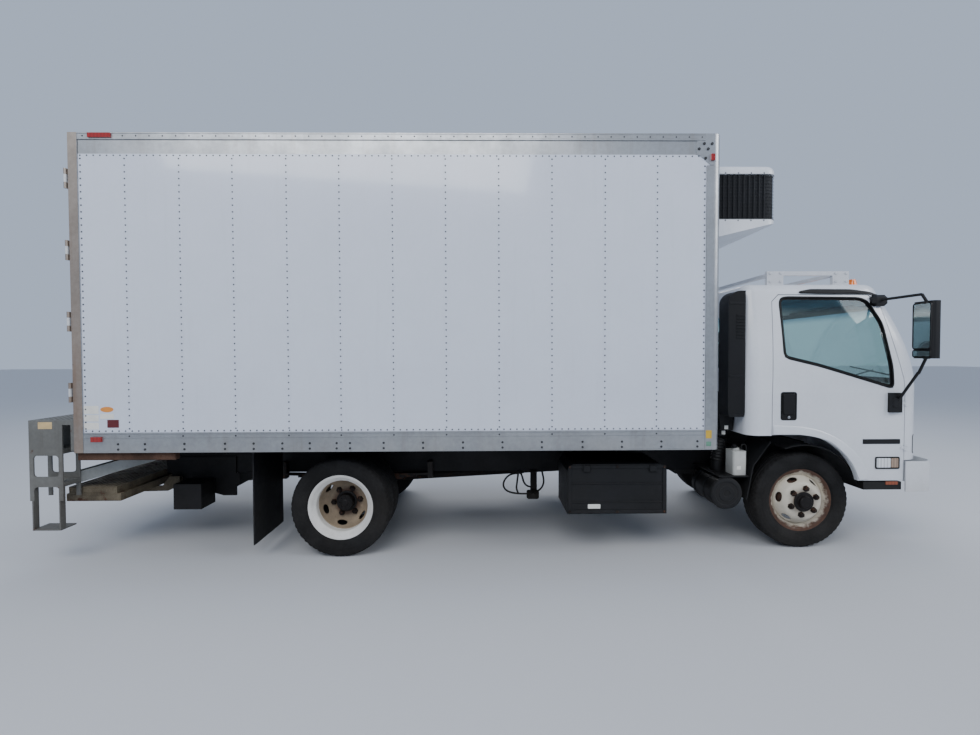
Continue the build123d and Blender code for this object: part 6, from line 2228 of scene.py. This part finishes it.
@dataclass
class CoolingUnit(Assembly):
    """Wires, seams and screws of the cooling unit."""

    front: float = 2.303
    rear: float = 1.698
    half: float = 0.94
    corner: float = 0.09
    band: Pair = (2.745, 3.105)
    screw_heights: Pair = (3.118, 2.73)

    def round_line(self, inset: float, z: float) -> np.ndarray:
        """Give the unit's plan line at a height, moved in: two sides, the front and its round corners.

        Args:
            inset: How far inside the unit's face it runs.
            z: Its height.

        Returns:
            The points of the line.
        """
        turn = np.linspace(-math.pi / 2, 0.0, 9)
        bend = self.corner - inset
        x = self.front - self.corner + bend * np.cos(turn)
        first = np.column_stack((x, self.corner - self.half + bend * np.sin(turn)))
        ends = (self.rear, inset - self.half), (self.rear, self.half - inset)
        across = np.array((ends[0], *first, *(first[::-1] * (1.0, -1.0)), ends[1]))
        return np.column_stack((across, np.full(len(across), z)))

    def build(self) -> None:
        """Make the wire guard, the seams and the screws."""
        wires = Surface()
        for z in np.arange(self.band[0] + 0.018, self.band[1] - 0.01, 0.027):
            wires.tube(self.round_line(0.0035, z), 0.0018, 5)
        self.make("guard_wires", wires, "unit_mesh", FINISHES["mirror_black"])
        seams = Surface()
        for z in (self.band[0] - 0.003, self.band[1] + 0.003):
            seams.tube(self.round_line(0.0005, z), 0.0028, 6)
        self.make("unit_seams", seams, "trim_black", GASKET)
        screws = Surface()
        for side in Side:
            face = Flat.side(side, self.half)
            run = np.linspace(self.rear + 0.06, self.front - 0.12, 5)
            for z in self.screw_heights:
                screws.studs(face, crossed(run, (z,)))
        screws.studs(Flat.front(self.front), crossed(np.linspace(-0.8, 0.8, 9), self.screw_heights[1:]))
        self.make("unit_screws", screws, "unit_white", RIVET_DARK)


@dataclass
class Hoses(Assembly):
    """Fixed air hoses under the right rail, their valve, and the fittings of the coolant tank."""

    rail_y: float = -0.47
    coolant_face: float = 0.925
    boot_faces: Pair = (0.7635, 0.808)
    hose_radius: float = 0.0085
    valve_port: Profile = ((0.025, 0.03), (0.055, 0.03), (0.06, 0.024), (0.06, 0.0))
    runs: tuple[tuple[float, Profile], ...] = (
        (0.0, ((-2.28, 0.552), (-2.305, 0.538), (-2.418, 0.53), (-2.474, 0.468), (-2.479, 0.407), (-2.436, 0.364),
               (-2.349, 0.346), (-2.25, 0.346))),
        (0.03, ((-2.325, 0.552), (-2.3, 0.5), (-2.29, 0.45), (-2.262, 0.41), (-2.21, 0.4), (-2.2, 0.37))),
        (-0.015, ((-2.34, 0.552), (-2.352, 0.45), (-2.36, 0.4), (-2.34, 0.352))),
        (0.0, ((-2.12, 0.552), (-2.1, 0.46), (-2.12, 0.4), (-2.16, 0.37))),
    )
    coolant_run: tuple[Point, ...] = (
        (2.045, -0.88, 0.83), (2.045, -0.88, 0.866), (2.083, -0.885, 0.868), (2.085, -0.885, 0.8), (2.06, -0.87, 0.7),
    )
    cap: Profile = ((0.024, -0.002), (0.024, 0.004), (0.021, 0.006), (0.021, 0.026), (0.017, 0.03), (0.0, 0.03))

    def line(self, points: object, y: float) -> np.ndarray:
        """Turn places ahead of the front axle and heights into a smooth path at one place across.

        Args:
            points: Places ahead of the front axle and heights.
            y: Place across the truck.

        Returns:
            The points of the path.
        """
        flat = np.asarray(points, float)
        path = np.column_stack((flat[:, 0] + FRONT_AXLE_X, np.full(len(flat), y), flat[:, 1]))
        return rounded(path, 0.06, 9, False)

    def build(self) -> None:
        """Make the hose loops, the valve on its bracket, the tank's cap and hose, and the blank labels."""
        loops = Surface()
        for shift, points in self.runs:
            loops.tube(self.line(points, self.rail_y + shift), self.hose_radius, 12)
        self.make("air_hoses", loops, "trim_black", HOSE)
        valve = Surface()
        valve.block((ahead(-2.262), self.rail_y - 0.03, 0.3), (ahead(-2.15), self.rail_y + 0.03, 0.378), 0.012)
        valve.block((ahead(-2.225), self.rail_y + 0.02, 0.35), (ahead(-2.165), self.rail_y + 0.045, 0.556), 0.004)
        valve.turned((ahead(-2.205), self.rail_y, 0.34), -1.0, self.valve_port, 24)
        self.make("air_valve", valve, "axle_iron")
        cap = Surface()
        cap.studs(Flat.top(0.834), [(2.0, -0.85)], self.cap, 24)
        self.make("coolant_cap", cap, "trim_black")
        hose = Surface()
        hose.tube(rounded(self.coolant_run, 0.03, 7, False), 0.006, 10)
        self.make("coolant_hose", hose, "trim_black", HOSE)
        tank_label, duct_labels = Surface(), Surface()
        for sheet, face, low, high, foot, lift in (
            (tank_label, self.coolant_face, (1.985, 0.662), (2.02, 0.69), -0.001, 0.0012),
            (duct_labels, self.boot_faces[0], (1.932, 0.932), (1.964, 0.964), -0.006, 0.0005),
            (duct_labels, self.boot_faces[1], (1.934, 0.984), (1.966, 1.016), -0.001, 0.0012),
        ):
            sheet.plate(Flat.side(Side.RIGHT, face), box_outline(low, high, 0.003, 3), foot, lift, 0.0004)
        self.make("blank_tank_label", tank_label, "tank_white", BLANK_WHITE)
        self.make("blank_duct_labels", duct_labels, "tank_white", BLANK_WHITE, "cab")


@dataclass
class Underside(Assembly):
    """Fittings under the body: box bolts, tank straps, filter clamps, springs' clamps and dampers."""

    box_face: float = 1.1
    filter_x: float = ahead(-0.64)
    filter_z: float = 0.47
    filter_radius: float = 0.128
    bellows_radius: float = 0.0545
    fold_depth: float = 0.0035
    folds: int = 7
    strap_places: tuple[float, ...] = (0.52, 0.86, 1.2)
    box_bolt: Profile = ((0.012, 0.004), (0.012, 0.012), (0.008, 0.0145), (0.0, 0.0145))
    clamp_half: float = 0.037
    clamp_radius: float = 0.009
    clamps: tuple[tuple[float, ...], ...] = (
        (FRONT_AXLE_X, 0.392, 0.385, 0.5, 0.062), (REAR_AXLE_X, 0.46, 0.39, 0.62, 0.085),
    )
    damper_ends: tuple[tuple[Point, Point], ...] = (
        ((FRONT_AXLE_X - 0.12, 0.53, 0.43), (FRONT_AXLE_X - 0.3, 0.47, 0.74)),
        ((REAR_AXLE_X + 0.2, 0.38, 0.36), (REAR_AXLE_X + 0.4, 0.34, 0.72)),
    )

    def build(self) -> None:
        """Make all fittings of the chassis."""
        self.battery_box()
        self.air_filter()
        self.tank()
        self.springs()
        self.flaps()

    def battery_box(self) -> None:
        """Make the cover's rim, its two ribs, its latches, its bolts and the blank label."""
        face = Flat.side(Side.RIGHT, self.box_face)
        lip = Surface()
        outer = box_outline((0.537, 0.356), (1.331, 0.748), 0.03, 5)
        lip.band(face, outer, -0.004, 0.03, -0.002, 0.007)
        for z in (0.44, 0.59):
            lip.plate(face, box_outline((0.56, z), (1.308, z + 0.012), 0.004, 3), -0.002, 0.006, 0.003)
        for x in (0.66, 1.19):
            lip.block((x, -self.box_face - 0.02, 0.69), (x + 0.06, -self.box_face + 0.004, 0.745), 0.006)
        self.make("battery_box_lip", lip, "box_black")
        bolts = Surface()
        places = [(x, z) for x in (0.554, 0.934, 1.314) for z in (0.372, 0.732)]
        bolts.studs(face, places, self.box_bolt, 6)
        self.make("battery_box_bolts", bolts, "axle_iron", LUG_IRON)
        label = Surface()
        label.plate(face, box_outline((0.7, 0.395), (0.8, 0.43), 0.004, 3), -0.001, 0.0012, 0.0005)
        self.make("battery_box_label", label, "box_black", BLANK_WHITE)

    def air_filter(self) -> None:
        """Make the filter's ribbed cap, its clamp bands and the bellows above it.

        The bellows' radius follows a sine of the height.
        """
        radius = self.filter_radius
        cap = Surface()
        cap.turned((self.filter_x, 0.0, self.filter_z), -1.0, (
            (0.93, radius + 0.001), (0.932, radius + 0.006), (0.946, radius + 0.006), (0.948, radius + 0.002),
            (0.958, radius + 0.001), (0.963, radius - 0.008), (0.963, radius - 0.03), (0.958, radius - 0.036),
            (0.958, radius - 0.06), (0.964, radius - 0.066), (0.964, 0.03), (0.958, 0.024), (0.958, 0.0)), 48)
        for place in (0.6, 0.78):
            cap.turned((self.filter_x, 0.0, self.filter_z), -1.0, (
                (place, radius - 0.002), (place, radius + 0.004), (place + 0.03, radius + 0.004),
                (place + 0.03, radius - 0.002)), 48)
        self.make("air_filter_cap", cap, "box_black")
        bellows = Surface()
        way = np.linspace(0.0, 1.0, 60)
        path = np.column_stack((ahead(-0.608) + way * 0.03, np.full(60, -0.705), 0.7 + way * 0.185))
        bellows.tube(path, self.bellows_radius + self.fold_depth * np.sin(way * 2 * math.pi * self.folds), 24)
        self.make("filter_bellows", bellows, "trim_black", HOSE)

    def tank(self) -> None:
        """Make the fuel tank's straps and cap."""
        straps = Surface()
        for x in self.strap_places:
            ring = box_outline((0.422, 0.366), (1.044, 0.724), 0.05, 6)
            straps.band(Flat.front(x + 0.02), ring, 0.003, 0.004, -0.045, 0.0)
        straps.turned((1.32, 0.0, 0.62), 1.0, ((1.03, 0.05), (1.05, 0.05), (1.056, 0.045), (1.056, 0.0)), 28)
        self.make("fuel_tank_straps", straps, "frame_steel")

    def springs(self) -> None:
        """Make the spring clamps, their nuts and the four dampers."""
        clamps = Surface()
        dampers = Surface()
        for side in Side:
            sign = side.value
            for axle_x, y, low, high, reach in self.clamps:
                for dx in (-reach, reach):
                    for dy in (-self.clamp_half, self.clamp_half):
                        foot = (axle_x + dx, sign * (y + dy), low)
                        clamps.tube(np.linspace(foot, (foot[0], foot[1], high), 4), self.clamp_radius, 8)
                        clamps.studs(Flat.top(low + 0.012), [foot[:2]], BOLT_HEAD, 6)
                    ends = [(axle_x + dx, sign * (y + dy), high) for dy in (-self.clamp_half, self.clamp_half)]
                    clamps.tube(np.linspace(*ends, 4), self.clamp_radius, 8)
            for foot, head in self.damper_ends:
                line = np.linspace((foot[0], sign * foot[1], foot[2]), (head[0], sign * head[1], head[2]), 12)
                width = np.where(np.arange(12) < 6, 0.027, 0.033)
                dampers.tube(line, width, 16)
        self.make("spring_clamps", clamps, "axle_iron", LUG_IRON)
        self.make("dampers", dampers, "axle_iron")

    def flaps(self) -> None:
        """Make the steel strips and bolts at the top of the rear flaps."""
        strips = Surface()
        for side in Side:
            low, high = sorted((side.value * 0.53, side.value * 1.09))
            outline = box_outline((low, 0.84), (high, 0.885), 0.004, 3)
            for facing, x in ((1.0, ahead(-4.48)), (-1.0, ahead(-4.49))):
                strips.plate(Flat.front(x, facing), outline, -0.001, 0.005, 0.002)
                places = crossed(np.linspace(low + 0.04, high - 0.04, 6), (0.862,))
                strips.studs(Flat.front(x + 0.005 * facing, facing), places, BOLT_HEAD, 6)
        self.make("flap_strips", strips, "frame_steel")


def main() -> None:
    """Build the scene in order and report each piece."""
    logging.basicConfig(level=logging.INFO, format="%(name)s %(message)s")
    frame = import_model()
    Camera().build()
    Studio().build()
    shelf = FinishShelf()
    SolidDresser(shelf, frame).build()
    assemblies = (
        Tyres(shelf), Rims(shelf), WheelHardware(shelf), BodySides(shelf),
        *(CabDoor(shelf, side=side) for side in Side),
        CabFront(shelf), CabSeats(shelf), Underside(shelf), Hoses(shelf), RearDoors(shelf), Tail(shelf),
        CoolingUnit(shelf),
    )
    for assembly in assemblies:
        assembly.build()
    LOG.info("made %d pieces", sum(assembly.count for assembly in assemblies))


if __name__ == "__main__":
    main()
